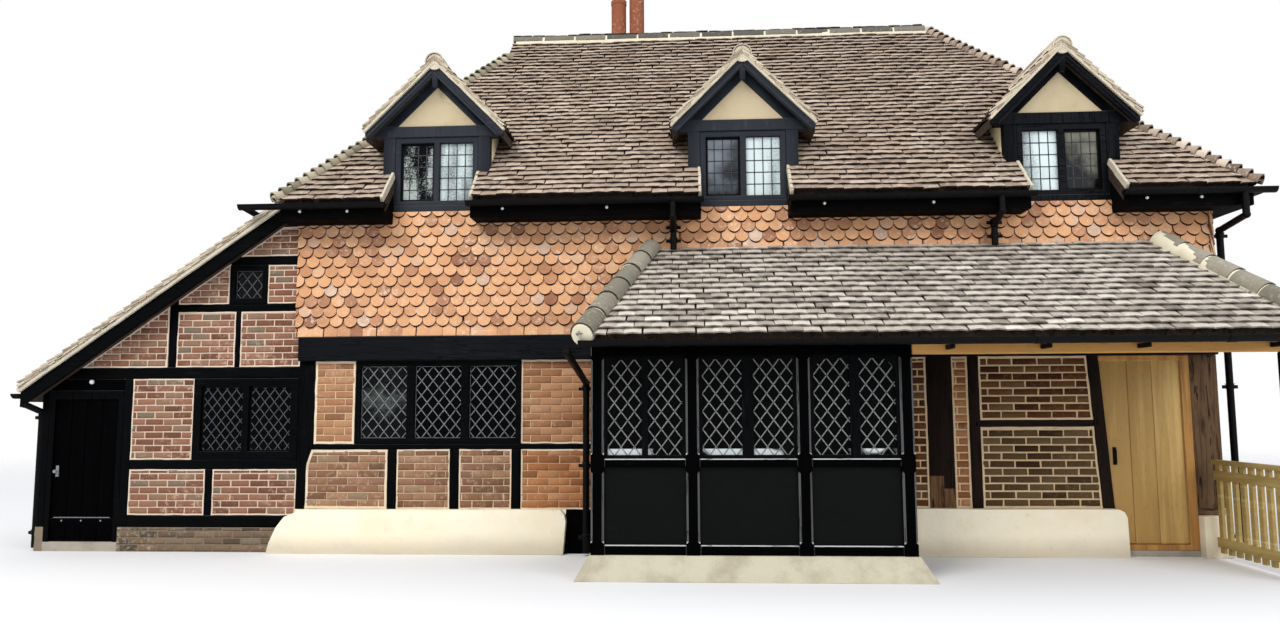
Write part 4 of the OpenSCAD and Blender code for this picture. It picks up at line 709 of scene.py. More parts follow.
def add_part(bm, part, tone=0.5, run=Z, index=0):
    """Adds to a bmesh another that is made where it belongs."""
    made = shape_mesh(part, "part")
    add_copy(bm, made, Matrix.Identity(4), tone, run, index=index)
    bpy.data.meshes.remove(made)


def timber_box(bm, low, high, edge=0.004, run=None, index=0):
    """A squared timber between two corners, with its edges eased."""
    low, high = Vector(low), Vector(high)
    part = box_of(high - low, (low + high) / 2)
    ease(part, part.edges[:], edge)
    add_part(bm, part, run=long_axis(high - low) if run is None else run, index=index)


def rod(bm, start, end, radius, sides=12):
    """A round bar between two points."""
    start, end = Vector(start), Vector(end)
    run = end - start
    part = bmesh.new()
    bmesh.ops.create_cone(part, cap_ends=True, segments=sides, radius1=radius, radius2=radius,
        depth=run.length)
    bmesh.ops.transform(part, matrix=Matrix.Translation((start + end) / 2) @ facing(run), verts=part.verts)
    add_part(bm, part, run=run.normalized())


def waver(bm, amount, scale):
    """Moves every vertex a little, smoothly from place to place, as hand work does."""
    for vert in bm.verts:
        vert.co += noise.noise_vector(vert.co * scale) * amount


def slice_up(bm, step):
    """Cuts a bmesh across at regular steps so that it can bend."""
    low, high = corners(bm.verts)
    for axis in (X, Y, Z):
        place = low.dot(axis) + step
        while place < high.dot(axis) - step / 2:
            cut_across(bm, axis * place, axis)
            place += step


def worked(node, edge, segments=1, step=0.0, amount=0.0, scale=1.6, rng=None, kind=None):
    """A node's solids with eased edges, a grain direction to each and, with step, a hand-hewn waver."""
    bm = merged_copy(node)
    tone = bm.verts.layers.float.new("tone")
    run = bm.verts.layers.float_vector.new("run")
    for group in islands(bm):
        low, high = corners(group)
        axis = long_axis(high - low)
        value = rng.random() if rng else 0.5
        for vert in group:
            vert[tone] = value
            vert[run] = axis
        if kind:
            set_kind(group, kind(low, high))
    ease(bm, sharp_edges(bm), edge, segments, True)
    if step:
        slice_up(bm, step)
        waver(bm, amount, scale)
    return bm


# Tiled surfaces


class Slope:
    """A plane to tile: a point on its lower edge, the way along it and the way up it."""

    def __init__(self, foot, along, up):
        self.foot = Vector(foot)
        self.along = Vector(along).normalized()
        self.up = Vector(up).normalized()
        self.out = self.along.cross(self.up)

    def at(self, u, v, lift=0.0):
        return self.foot + self.along * u + self.up * v + self.out * lift

    def seat(self, u, v, lift=0.0, tilt=0.0, twist=0.0):
        """Matrix that lays a shape, made flat and facing +Z, on the slope."""
        own = Matrix.Rotation(twist, 4, "Z") @ Matrix.Rotation(-tilt, 4, "X")
        return Matrix.Translation(self.at(u, v, lift)) @ turned(self.along, self.up, self.out) @ own


def flat_tile(name, width, length, thick, rng, camber=0.004):
    """A plain tile, its lower edge at y = 0, slightly cambered and never quite square."""
    bm = bmesh.new()
    bmesh.ops.create_grid(bm, x_segments=2, y_segments=1, size=0.5)
    bmesh.ops.scale(bm, verts=bm.verts, vec=(width, length, 1))
    bmesh.ops.translate(bm, verts=bm.verts, vec=(0, length / 2, 0))
    for vert in bm.verts:
        vert.co.z += camber * (1 - (2 * vert.co.x / width) ** 2)
        if vert.co.y < length / 2:
            vert.co.y += rng.uniform(-0.005, 0.005)
            vert.co.x += rng.uniform(-0.0015, 0.0015)
            vert.co.z += rng.uniform(-0.003, 0.003)
    thicken(bm, thick)
    mark_reach(bm, length)
    return shape_mesh(bm, name)


def thicken(bm, thick):
    """Turns a flat shape into a slab, upwards."""
    top = bmesh.ops.extrude_face_region(bm, geom=bm.faces[:])["geom"]
    bmesh.ops.translate(bm, vec=(0, 0, thick), verts=[v for v in top if isinstance(v, bmesh.types.BMVert)])


def mark_reach(bm, length):
    """Notes on every vertex of a tile how far up the tile it lies, from 0 to 1."""
    reach = bm.verts.layers.float.new("reach")
    for vert in bm.verts:
        vert[reach] = vert.co.y / length


SCALE_LIP = 0.014


def scale_tile(name, width, reach, thick, rng):
    """A fish-scale tile facing +Z: a half round lower end, its rim slanting back in a painted-shadow finish,
    and a straight body.
    """
    bm = bmesh.new()
    bmesh.ops.create_circle(bm, cap_ends=True, segments=18, radius=width / 2)
    for vert in bm.verts:
        if vert.co.y > 0.001:
            vert.co.y = reach
            vert.co.x = math.copysign(width / 2 - 0.001, vert.co.x) if abs(vert.co.x) > 0.01 else 0
    bmesh.ops.remove_doubles(bm, verts=bm.verts, dist=0.0005)
    bmesh.ops.translate(bm, verts=bm.verts, vec=(0, width / 2, 0))
    for vert in bm.verts:
        vert.co.x += rng.uniform(-0.0012, 0.0012)
        vert.co.y += rng.uniform(-0.0012, 0.0012)
    thicken(bm, thick)
    for vert in bm.verts:
        if vert.co.z < thick / 2:
            vert.co.y -= SCALE_LIP * max(0.0, 1 - 2 * vert.co.y / width)
    bm.normal_update()
    # The slanting rim faces take the second finish, the painted shadow.
    for face in bm.faces:
        low, high = corners(face.verts)
        if high.z - low.z > thick / 2 and low.y < width / 2:
            face.material_index = 1
    mark_reach(bm, reach + width / 2)
    return shape_mesh(bm, name)


def lay_courses(bm, slope, left, right, rise, gauge, pitch, shapes, rng, bounds, thick=0.014,
        first=None, sag=0.006, gap=0.006, rough=0.004, even=4.0):
    """Lays courses of tiles up a slope. bounds gives a tile's cutting planes, or None to leave it out."""
    tilt = math.atan2(thick + gap, gauge)
    lift, stack = 0.002, (thick + gap) * 1.35
    for course in range(int(rise / gauge + 0.999)):
        start = left + (pitch / 2 if course % 2 else 0)
        for i in range(int((right - left) / pitch) + 2):
            u = start + i * pitch
            wave = noise.noise(Vector((u * 0.9, course * 0.35, sag)))
            wave += noise.noise(Vector((u * 3.1, course * 0.8, 7.0))) * 0.5
            v = course * gauge + wave * sag + rng.uniform(-rough, rough)
            cuts = bounds(slope.at(u, v + gauge / 2))
            if cuts is None:
                continue
            own = first if first and course == 0 else shapes
            height = lift + noise.noise(slope.at(u, v) * 0.7) * sag + stack
            height += rng.uniform(-rough, rough) * 0.6
            place = u + rng.uniform(-0.06, 0.06) * pitch
            matrix = slope.seat(place, v, height, tilt, rng.uniform(-0.02, 0.02))
            add_copy(bm, rng.choice(own), matrix, rng.betavariate(even, even), Z, cuts)


def near(planes, reach):
    """A bounds function: leaves out tiles beyond a plane and cuts those that cross it."""
    def bounds(centre):
        cuts = []
        for point, normal in planes(centre):
            distance = (centre - Vector(point)).dot(Vector(normal).normalized())
            if distance > reach:
                return None
            if distance > -reach:
                cuts.append((point, normal))
        return cuts
    return bounds


# Roof tiles

GAUGE = 0.1
TILE_W = 0.165
TILE_LENGTH = 0.165
TILE_THICK = 0.014
TILE_REACH = 0.12
MAIN_FRONT = Slope((0, -EAVE_Y, EAVES_Z), X, (0, 1, ROOF_PITCH))
MAIN_REAR = Slope((0, EAVE_Y, EAVES_Z), -X, (0, -1, ROOF_PITCH))
LEFT_HIP = Slope((LEFT_EDGE, 0, EAVES_Z), -Y, (LEFT_FOOT.x - LEFT_EDGE, 0, LEFT_FOOT.z - EAVES_Z))
RIGHT_HIP = Slope((RIGHT_EDGE, 0, EAVES_Z), Y, (RIGHT_FOOT.x - RIGHT_EDGE, 0, RIGHT_FOOT.z - EAVES_Z))
MAIN_RISE = math.hypot(EAVE_Y, RIDGE_Z - EAVES_Z)
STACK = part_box("chimney_stack")


def hip_line(side, end, upper=False):
    """Ends of a hip: side is -1 left or 1 right, end -1 front or 1 rear; the right has an upper length."""
    foot = LEFT_FOOT if side < 0 else RIGHT_FOOT
    top = Vector((foot.x, end * abs(foot.y), foot.z))
    if upper:
        return top, RIDGE_END.copy()
    return Vector((LEFT_EDGE if side < 0 else RIGHT_EDGE, end * EAVE_Y, EAVES_Z)), top


def upright_plane(point, run, side):
    """An upright plane through a line, its normal pointing to one side of the house."""
    normal = Z.cross(run)
    if normal.x * side < 0:
        normal = -normal
    return point, normal.normalized()


def hip_plane(side, end, upper=False):
    """Upright plane on a hip of the main roof, its normal pointing to the end of the house."""
    start, top = hip_line(side, end, upper)
    return upright_plane(start, top - start, side)


def long_slope_planes(end):
    """Planes that bound the front slope, end -1, or the rear slope, end 1."""
    def planes(centre):
        found = [hip_plane(1, end, centre.z > RIGHT_FOOT.z)]
        if centre.z < LEFT_FOOT.z:
            found.append(hip_plane(-1, end))
        else:
            found.append((LEFT_FOOT - X * 0.045, -X))
        if end < 0:
            found += dormer_sides(centre)
        return found
    return planes


def valley_y(side):
    """Where the dormer deck meets the front slope, side metres from the dormer's centre."""
    return -EAVE_Y + (DORMER_RIDGE - side - EAVES_Z) / ROOF_PITCH


def dormer_sides(centre):
    """The upright side planes of a dormer that a tile of the front slope may run into."""
    found = []
    for x in DORMERS:
        half = DORMER_GAP if centre.y < FRONT else DORMER_HALF
        if centre.y < valley_y(min(half, abs(centre.x - x))):
            side = 1 if centre.x < x else -1
            found.append((Vector((x - side * half, 0, 0)), X * side))
    return found


def end_planes(side, upper=False):
    """Planes that bound an end slope of the main roof."""
    pairs = [hip_plane(side, end, upper) for end in (-1, 1)]
    return [(start, -normal) for start, normal in pairs]


def tile_set(name, rng, width=TILE_W, thick=TILE_THICK):
    return [flat_tile(name + str(i), width * rng.uniform(0.97, 0.99), TILE_LENGTH, thick, rng)
        for i in range(5)]


def main_roof_tiles():
    """Tiles on the long slopes, the hips and, up the left gablet, as a hung face."""
    rng = random.Random(11)
    tiles = tile_set("roof_tile", rng)
    for name, slope, end in (("front_roof_tiles", MAIN_FRONT, -1), ("rear_roof_tiles", MAIN_REAR, 1)):
        bounds = near(long_slope_planes(end), TILE_REACH)

        def open_bounds(centre):
            in_stack = all(STACK[0][i] < centre[i] < STACK[1][i] for i in (0, 1))
            return None if in_stack else bounds(centre)
        bm = new_field()
        lay_courses(bm, slope, -RIGHT_EDGE, RIGHT_EDGE, MAIN_RISE, GAUGE, TILE_W, tiles, rng,
            open_bounds, sag=0.014, rough=0.006, even=6.0)
        piece(bm, name, [ROOF_CLAY])
    bm = new_field()
    steep_foot = Vector((RIGHT_FOOT.x, 0, RIGHT_FOOT.z))
    steep = Slope(steep_foot, Y, RIDGE_END - steep_foot)
    over = 0.02
    ends = (
        (LEFT_HIP, EAVE_Y, (LEFT_FOOT - LEFT_HIP.foot).xz.length, end_planes(-1)),
        (RIGHT_HIP, EAVE_Y, (RIGHT_FOOT - RIGHT_HIP.foot).xz.length, end_planes(1)),
        (steep, abs(RIGHT_FOOT.y), (RIDGE_END - steep_foot).length, end_planes(1, True)),
        (Slope((LEFT_FOOT.x, 0, LEFT_FOOT.z), -Y, Z), abs(LEFT_FOOT.y), RIDGE_Z - LEFT_FOOT.z,
            [(MAIN_FRONT.at(0, 0, over), MAIN_FRONT.out), (MAIN_REAR.at(0, 0, over), MAIN_REAR.out)]),
    )
    for slope, half, rise, planes in ends:
        lay_courses(bm, slope, -half, half, rise, GAUGE, TILE_W, tiles, rng,
            near(lambda centre: planes, TILE_REACH), sag=0.012, rough=0.006, even=6.0)
    piece(bm, "hip_roof_tiles", [ROOF_CLAY])


def verge_stack(bm, slope, u, rise, shapes, rng, cuts):
    """The ends of three layers of tiles at every course along a verge."""
    short, long = shapes
    for course in range(int(rise / GAUGE + 0.999)):
        for shape, lift, tilt in ((short, 0.002, 0.0), (short, 0.021, 0.06), (long, 0.048, 0.18)):
            v = course * GAUGE + lift * 0.6 + rng.uniform(-0.006, 0.006)
            place = u + rng.uniform(-0.006, 0.006)
            matrix = slope.seat(place, v, lift, tilt, rng.uniform(-0.03, 0.03))
            add_copy(bm, shape, matrix, rng.random(), Z, cuts)


def verge_set(rng):
    """A short and a long tile for the verges."""
    width, camber = 0.15, 0.001
    return (flat_tile("verge_short", width, 0.098, 0.016, rng, camber),
        flat_tile("verge_long", width, 0.2, 0.017, rng, camber))


def dormer_tiles():
    """Both slopes of each dormer, cut where they meet the front slope, with their mortared verges."""
    rng = random.Random(23)
    ends = verge_set(rng)
    tiles = tile_set("dormer_tile", rng)
    verges = new_field()
    bm = new_field()
    mortar_bed = new_field()
    length = DORMER_ROOF_HALF * math.sqrt(2)
    spare = 0.2
    below = (MAIN_FRONT.at(0, 0, 0.03), -MAIN_FRONT.out)
    verge = (Vector((0, DORMER_VERGE_Y - 0.02, 0)), -Y)
    foot_z = DORMER_RIDGE - DORMER_ROOF_HALF
    for x in DORMERS:
        for side in (-1, 1):
            slope = Slope((x + side * DORMER_ROOF_HALF, 0, foot_z), Y * side, (-side, 0, 1))
            apex = (Vector((x, 0, 0)), X * -side)
            low, high = (DORMER_VERGE_Y, 0) if side > 0 else (0, -DORMER_VERGE_Y)
            lay_courses(bm, slope, low - spare, high + spare, length, GAUGE, TILE_W, tiles, rng,
                near(lambda centre: [below, verge, apex], TILE_REACH), sag=0.004)
            verge_stack(verges, slope, side * (DORMER_VERGE_Y + 0.045), length, ends, rng, [apex])
            dormer_mortar(mortar_bed, x, side, foot_z)
    piece(bm, "dormer_roof_tiles", [ROOF_CLAY])
    piece(verges, "dormer_verge_tiles", [VERGE_CLAY])
    slice_up(mortar_bed, 0.12)
    waver(mortar_bed, 0.005, 9.0)
    piece(mortar_bed, "dormer_verge_mortar", [VERGE_MORTAR])


def dormer_mortar(bm, x, side, foot_z):
    """Mortar up one verge of a dormer, and down the edge of the front slope beside it."""
    y = DORMER_VERGE_Y - 0.004
    foot = Vector((x + side * (DORMER_ROOF_HALF + 0.012), y, foot_z - 0.016))
    top = Vector((x, y, DORMER_RIDGE - 0.004))
    bar(bm, foot, top, 0.05, 0.03, Vector((side, 0, 1)))
    edge, lift = x + side * (DORMER_GAP + 0.012), 0.012
    bar(bm, MAIN_FRONT.at(edge, -0.01, lift), MAIN_FRONT.at(edge, 0.5, lift), 0.03, 0.07, MAIN_FRONT.out)


def bar(bm, start, end, width, height, up, edge=0.004, index=0):
    """A squared bar between two points, centred on them across and standing height deep along up."""
    start, end, up = Vector(start), Vector(end), Vector(up).normalized()
    run = (end - start).normalized()
    part = box_of(((end - start).length, width, height))
    if edge:
        ease(part, part.edges[:], edge)
    matrix = Matrix.Translation((start + end) / 2) @ turned_along(run, up)
    bmesh.ops.transform(part, matrix=matrix, verts=part.verts)
    add_part(bm, part, run=run, index=index)


def pent_hip_plane(side):
    """Upright plane on a hip of the pent roof, its normal pointing to the end slope."""
    corner = Vector((PENT_X0 if side < 0 else PENT_X1, PENT_Y, 0))
    return upright_plane(corner, Vector((-side * PENT_INSET, FRONT - PENT_Y, 0)), side)


def pent_tiles():
    """The pent roof's front slope and its two small end slopes."""
    rng = random.Random(37)
    gauge, pitch, thick = 0.117, 0.158, 0.013
    tiles = tile_set("pent_tile", rng, 0.156, thick)
    rise = math.hypot(FRONT - PENT_Y, PENT_TOP - PENT_EAVE)
    bm = new_field()
    middle = (PENT_X0 + PENT_X1) / 2
    wall = (Vector((0, FRONT - 0.005, 0)), Y)
    slope = Slope((middle, PENT_Y, PENT_EAVE), X, (0, FRONT - PENT_Y, PENT_TOP - PENT_EAVE))
    half = (PENT_X1 - PENT_X0) / 2
    lay_courses(bm, slope, -half, half, rise, gauge, pitch, tiles, rng,
        near(lambda centre: [pent_hip_plane(-1), pent_hip_plane(1), wall], TILE_REACH), thick,
        sag=0.009, gap=0.007, rough=0.006, even=2.2)
    steep = math.hypot(PENT_INSET, PENT_TOP - PENT_EAVE)
    for side in (-1, 1):
        corner, normal = pent_hip_plane(side)
        slope = Slope((corner.x, 0, PENT_EAVE), Y * side, (-side * PENT_INSET, 0, PENT_TOP - PENT_EAVE))
        low, high = (PENT_Y, FRONT) if side > 0 else (-FRONT, -PENT_Y)
        planes = [(corner, -normal), wall]
        lay_courses(bm, slope, low, high, steep, gauge, pitch, tiles, rng,
            near(lambda centre: planes, TILE_REACH), thick, sag=0.004, gap=0.007, rough=0.005)
    piece(bm, "pent_roof_tiles", [PENT_CLAY])


def outshot_tiles():
    """The outshot's long low slope, with a mortared verge at the front and at the rear."""
    rng = random.Random(41)
    tiles = tile_set("outshot_tile", rng)
    verge = OUT_HIGH.y + 0.07
    run = OUT_HIGH.x - OUT_LOW.x
    length = math.hypot(run, run * OUT_PITCH)
    slope = Slope((OUT_LOW.x, 0, OUT_EAVE), -Y, (1, 0, OUT_PITCH))
    wall = (Vector((OUT_HIGH.x + 0.01, 0, 0)), X)
    planes = [(Vector((0, verge, 0)), Y), (Vector((0, -verge, 0)), -Y), wall]
    bm = new_field()
    lay_courses(bm, slope, -verge, verge, length, GAUGE, TILE_W, tiles, rng,
        near(lambda centre: planes, TILE_REACH), sag=0.01, rough=0.006, even=5.0)
    piece(bm, "outshot_roof_tiles", [ROOF_CLAY])
    bm = new_field()
    verges = new_field()
    ends = verge_set(rng)
    for side in (-1, 1):
        y = side * (verge - 0.022)
        foot = (OUT_LOW.x - 0.02, y, OUT_EAVE - 0.026)
        top = (OUT_HIGH.x, y, OUT_EAVE + run * OUT_PITCH - 0.012)
        bar(bm, foot, top, 0.045, 0.05, Z)
        verge_stack(verges, slope, -side * (verge - 0.06), length, ends, rng, [wall])
    slice_up(bm, 0.15)
    waver(bm, 0.006, 7.0)
    piece(bm, "outshot_verge_mortar", [VERGE_MORTAR])
    piece(verges, "outshot_verge_tiles", [VERGE_CLAY])


# Ridges and hips


def cap_shape(name, wide, narrow, length, thick, below):
    """A half round cap tile along +X, its lower end at x = 0, cut off level at a depth below its axis."""
    bm = bmesh.new()
    bmesh.ops.create_cone(bm, cap_ends=False, segments=16, radius1=wide, radius2=narrow, depth=length)
    bmesh.ops.rotate(bm, verts=bm.verts, matrix=Matrix.Rotation(math.pi / 2, 3, "Y"))
    bmesh.ops.translate(bm, verts=bm.verts, vec=(length / 2, 0, 0))
    cut_across(bm, (0, 0, -below), -Z, True)
    bmesh.ops.recalc_face_normals(bm, faces=bm.faces)
    bmesh.ops.solidify(bm, geom=bm.faces[:], thickness=thick)
    return shape_mesh(bm, name)


def cap_row(bm, shape, start, end, count, up, rng, tilt=0.0, lift=0.0, spare=0.0, index=0):
    """Lays cap tiles from a low point to a high one, evenly, each a little out of line."""
    start, end, up = Vector(start), Vector(end), Vector(up).normalized()
    run = (end - start).normalized()
    turn = turned_along(run, up)
    step = ((end - start).length - spare) / count
    for i in range(count):
        place = start + run * (i * step + rng.uniform(-0.004, 0.004))
        place += up * (lift + rng.uniform(-0.003, 0.003))
        own = Matrix.Rotation(tilt, 4, "Y") @ Matrix.Rotation(rng.uniform(-0.02, 0.02), 4, "Z")
        add_copy(bm, shape, Matrix.Translation(place) @ turn @ own, rng.random(), run, index=index)


def bed_row(bm, start, end, up, radius, lift):
    """A wavering bed of mortar under a row of caps."""
    length = (Vector(end) - Vector(start)).length
    shape = cap_shape("bed", radius, radius, length, 0.02, 0.04)
    part = new_field()
    cap_row(part, shape, start, end, 1, up, random.Random(1), lift=lift, spare=length - 0.001)
    slice_up(part, 0.16)
    waver(part, 0.008, 6.0)
    add_part(bm, part)


def ridges_and_hips():
    rng = random.Random(53)
    hip_beds = new_field()
    ridge_caps(rng, hip_beds)
    bonnet_hips(rng, hip_beds)
    beds = new_field()
    pent_hips(rng, beds)
    piece(beds, "hip_mortar_beds", [CAP_MORTAR])
    piece(hip_beds, "bonnet_mortar_beds", [VERGE_MORTAR])
    dress(CAP_MORTAR, "ridge_tiles")


def ridge_caps(rng, beds):
    """Half round caps on the main ridge and, smaller, on the dormers, with a plug of mortar at each verge."""
    caps = new_field()
    ridge = cap_shape("ridge_cap", 0.117, 0.117, 0.412, 0.012, -0.012)
    ridge_z = RIDGE_Z - 0.034
    left = Vector((LEFT_FOOT.x - 0.04, 0, ridge_z))
    right = Vector((RIDGE_END.x + 0.02, 0, ridge_z))
    cap_row(caps, ridge, left, right, round((right - left).length / 0.44), Z, rng)
    small = cap_shape("dormer_cap", 0.105, 0.105, 0.3, 0.012, 0.02)
    for x in DORMERS:
        front = Vector((x, DORMER_VERGE_Y - 0.035, DORMER_RIDGE - 0.004))
        back = Vector((x, valley_y(0) + 0.05, DORMER_RIDGE - 0.004))
        cap_row(caps, small, front, back, round((back - front).length / 0.31), Z, rng, index=1)
        rod(beds, front + Y * 0.012, front + Y * 0.3, 0.09, 20)
    piece(caps, "ridge_cap_tiles", [CAP_CLAY, VERGE_CLAY])


def bonnet_hips(rng, beds):
    """Bonnet tiles up the hips of the main roof, bedded in mortar on the left."""
    bonnets = new_field()
    bonnet = cap_shape("bonnet", 0.072, 0.042, 0.17, 0.014, 0.03)
    steep_out = Y.cross(RIDGE_END - Vector((RIGHT_FOOT.x, 0, RIGHT_FOOT.z))).normalized()
    hips = [(side, end, False) for side in (-1, 1) for end in (-1, 1)] + [(1, -1, True), (1, 1, True)]
    for side, end, upper in hips:
        start, top = hip_line(side, end, upper)
        up = (MAIN_FRONT if end < 0 else MAIN_REAR).out
        up = up + (steep_out if upper else (LEFT_HIP if side < 0 else RIGHT_HIP).out)
        count = round((top - start).length / 0.115)
        cap_row(bonnets, bonnet, start, top, count, up, rng, tilt=0.24, lift=0.045,
            index=0 if side < 0 else 1)
        if side < 0:
            bed_row(beds, start, top, up, 0.048, 0.022)
    piece(bonnets, "bonnet_hip_tiles", [HIP_CLAY, ROOF_CLAY])


def pent_hips(rng, beds):
    """Six half round caps on each hip of the pent roof, in thick mortar."""
    hips = new_field()
    half_round = cap_shape("pent_cap", 0.116, 0.11, 0.314, 0.014, 0.012)
    for side in (-1, 1):
        x = PENT_X0 if side < 0 else PENT_X1
        corner = Vector((x - side * 0.02, PENT_Y + 0.02, PENT_EAVE + 0.015))
        top = Vector((x - side * PENT_INSET, FRONT - 0.01, PENT_TOP + 0.01))
        up = Vector((side * 0.6, -1, 1.6))
        cap_row(hips, half_round, corner, top, 6, up, rng, tilt=0.012, lift=0.02)
        bed_row(beds, corner, top, up, 0.1, 0.016)
        run = (top - corner).normalized()
        rod(beds, corner - run * 0.02 + up.normalized() * 0.012, corner + run * 0.1, 0.1, 20)
    piece(hips, "pent_hip_tiles", [PENT_CAP_CLAY])


# Tile-hung walls


def pent_line(x):
    """Height at which the pent roof meets the front wall."""
    rise = (PENT_TOP - PENT_EAVE) / PENT_INSET
    return min(PENT_TOP, PENT_EAVE + (x - PENT_X0) * rise, PENT_EAVE + (PENT_X1 - x) * rise)


def hung_tiles():
    """Fish-scale tiles over the upper walls, the lowest course square, cut at the corners and the top."""
    rng = random.Random(67)
    pitch, gauge, thick, stand = 0.147, 0.11, 0.014, 0.048
    rounds = [scale_tile("scale" + str(i), pitch * rng.uniform(0.975, 0.99), 0.15, thick, rng)
        for i in range(4)]
    squares = [flat_tile("square" + str(i), pitch * rng.uniform(0.965, 0.99), 0.17, 0.012, rng, 0.002)
        for i in range(3)]
    corner = HALF_X + stand
    planes = [(Vector((corner, 0, 0)), X), (Vector((-corner, 0, 0)), -X),
        (Vector((0, corner - HALF_X - FRONT, 0)), Y), (Vector((0, FRONT - corner + HALF_X, 0)), -Y),
        (Vector((0, 0, WALL_TOP)), Z)]
    in_reach = near(lambda centre: planes, 0.11)

    def front(centre):
        behind_pent = PENT_X0 < centre.x < PENT_X1 and centre.z < pent_line(centre.x) - 0.12
        at_dormer = any(abs(centre.x - x) < DORMER_GAP + 0.1 for x in DORMERS)
        if behind_pent or (centre.z > WALL_TOP - 0.1 and not at_dormer):
            return None
        return in_reach(centre)

    foot_z = BEAM_TOP - 0.005
    rise = WALL_TOP - foot_z - 0.02
    walls = (
        ("front_wall_tiles", Slope((0, FRONT, foot_z), X, Z), HALF_X, front),
        ("rear_wall_tiles", Slope((0, -FRONT, foot_z), -X, Z), HALF_X, in_reach),
        ("right_wall_tiles", Slope((HALF_X, 0, foot_z), Y, Z), -FRONT, in_reach),
    )
    for name, slope, half, bounds in walls:
        bm = new_field()
        lay_courses(bm, slope, -half - 0.1, half, rise, gauge, pitch, rounds, rng, bounds, thick,
            first=squares, sag=0.004, gap=0.004, even=2.2)
        piece(bm, name, [WALL_CLAY, RIM_SHADOW_CLAY], angle=30)
    dress(BACKING, "upper_front_wall", "upper_rear_wall", "upper_end_walls")


# Brickwork


def brick_set(name, length, height, rng):
    """A few bricks of one size, face up, with rounded arrises and faces that aren't quite flat."""
    shapes = []
    for i in range(4):
        bm = box_of((length, height, 0.024))
        for vert in bm.verts:
            vert.co.x += rng.uniform(-0.003, 0.003)
            vert.co.y += rng.uniform(-0.002, 0.002)
        top = [edge for edge in bm.edges if all(v.co.z > 0 for v in edge.verts)]
        ease(bm, top, 0.005)
        shapes.append(shape_mesh(bm, name + str(i)))
    return shapes


def lay_bricks(bm, slope, half, rise, planes, bond, shapes, rng, start=0.0, index=0):
    """Stretcher bond over a rectangle of the slope's plane, cut at its planes."""
    pitch, course = bond
    shift = rng.uniform(0, pitch)
    bounds = near(lambda centre: planes, pitch / 2 - 0.012)
    for i in range(int((rise - start) / course + 0.9)):
        v = start + (i + 0.5) * course
        u = -half - pitch + shift + (pitch / 2 if i % 2 else 0)
        while u < half + pitch:
            cuts = bounds(slope.at(u, v))
            if cuts is not None:
                lift = rng.uniform(-0.0065, -0.0035)
                place = v + rng.uniform(-0.0015, 0.0015)
                matrix = slope.seat(u, place, lift, 0, rng.uniform(-0.008, 0.008))
                add_copy(bm, rng.choice(shapes), matrix, rng.random(), X, cuts, index)
            u += pitch * rng.uniform(0.985, 1.015)


def panel_sides(group, out):
    """Each side face of a panel: a point, its outward normal and the ends of its front edge."""
    faces = dict.fromkeys(face for vert in group for face in vert.link_faces)
    high = max(vert.co.dot(out) for vert in group)
    found = []
    for face in faces:
        if abs(face.normal.dot(out)) > 0.3:
            continue
        line = [v.co.copy() for v in face.verts if v.co.dot(out) > high - 1e-4]
        if len(line) < 2:
            continue
        along = out.cross(face.normal)
        line.sort(key=lambda co: co.dot(along))
        found.append((line[0], face.normal.copy(), line[-1]))
    return found


def fill_panels():
    """Bricks and a wavering cream border in the panels of the frame, and bricks in the base."""
    rng = random.Random(71)
    wide = (0.256, 0.079), brick_set("wide_brick", 0.239, 0.062, rng), 0.028
    close = (0.227, 0.0785), brick_set("close_brick", 0.217, 0.069, rng), 0.022
    small = (0.208, 0.0725), brick_set("small_brick", 0.194, 0.059, rng), 0.02
    bricks = new_field()
    borders = new_field()
    boarding = new_field()
    for node in ("front_infill", "outshot_infill", "back_infill", "brick_base", "end_bases"):
        base = node.endswith(("base", "bases"))
        bm = merged_copy(node)
        for group in islands(bm):
            low, high = corners(group)
            size = high - low
            centre = (low + high) / 2
            if over_outshot_door(centre):
                board_over(boarding, low, high)
                continue
            across = size.x < size.y
            out = X * math.copysign(1, centre.x) if across else Y * math.copysign(1, centre.y)
            if across and -HALF_X - 0.01 < centre.x < -HALF_X + 0.2:
                continue
            bond, shapes, border = small if centre.x < -HALF_X else wide if centre.x > BAY_HIGH.x else close
            if -HALF_X < centre.x < -HALF_X + 0.9:
                border = 0.034
            foot = Vector((centre.x, centre.y, low.z))
            foot += out * (max(v.co.dot(out) for v in group) - foot.dot(out))
            sides = panel_sides(group, out)
            inset = 0.004 if base else border / 2
            planes = [(point - normal * inset, normal) for point, normal, end in sides]
            lay_bricks(bricks, Slope(foot, Z.cross(out), Z), (size.y if across else size.x) / 2, size.z,
                planes, bond, shapes, rng, inset, brick_kind(centre, base))
            for start, normal, end in () if base else sides:
                if (end - start).length > 0.03:
                    border_bead(borders, start, end, normal, out, border)
        bm.free()
    waver(borders, 0.005, 9.0)
    kinds = [RED_BRICK, PALE_BRICK, ORANGE_BRICK, GREY_BRICK, OLIVE_BRICK, BROWN_BRICK, TAN_BRICK]
    piece(bricks, "panel_bricks", kinds, angle=50)
    piece(borders, "panel_borders", [EDGE_MORTAR], angle=60)
    piece(boarding, "outshot_over_door_boards", [LEAF_BLACK])
    dress(PANEL_MORTAR, "front_infill", "outshot_infill", "back_infill", "chimney_stack")
    dress(BASE_MORTAR, "brick_base", "end_bases")


def over_outshot_door(centre):
    """Whether a panel lies over the outshot's door."""
    low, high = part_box("outshot_door")
    return centre.y < 0 and low.x < centre.x < high.x and centre.z > high.z


def board_over(bm, low, high):
    """Black boards nailed level over a panel."""
    count = max(1, round((high.z - low.z) / 0.17))
    step = (high.z - low.z) / count
    gap = 0.001
    for i in range(count):
        z = low.z + i * step
        corner = (low.x, low.y - 0.012, z + gap)
        timber_box(bm, corner, (high.x, low.y + 0.01, z + step - gap), 0.004, run=X)


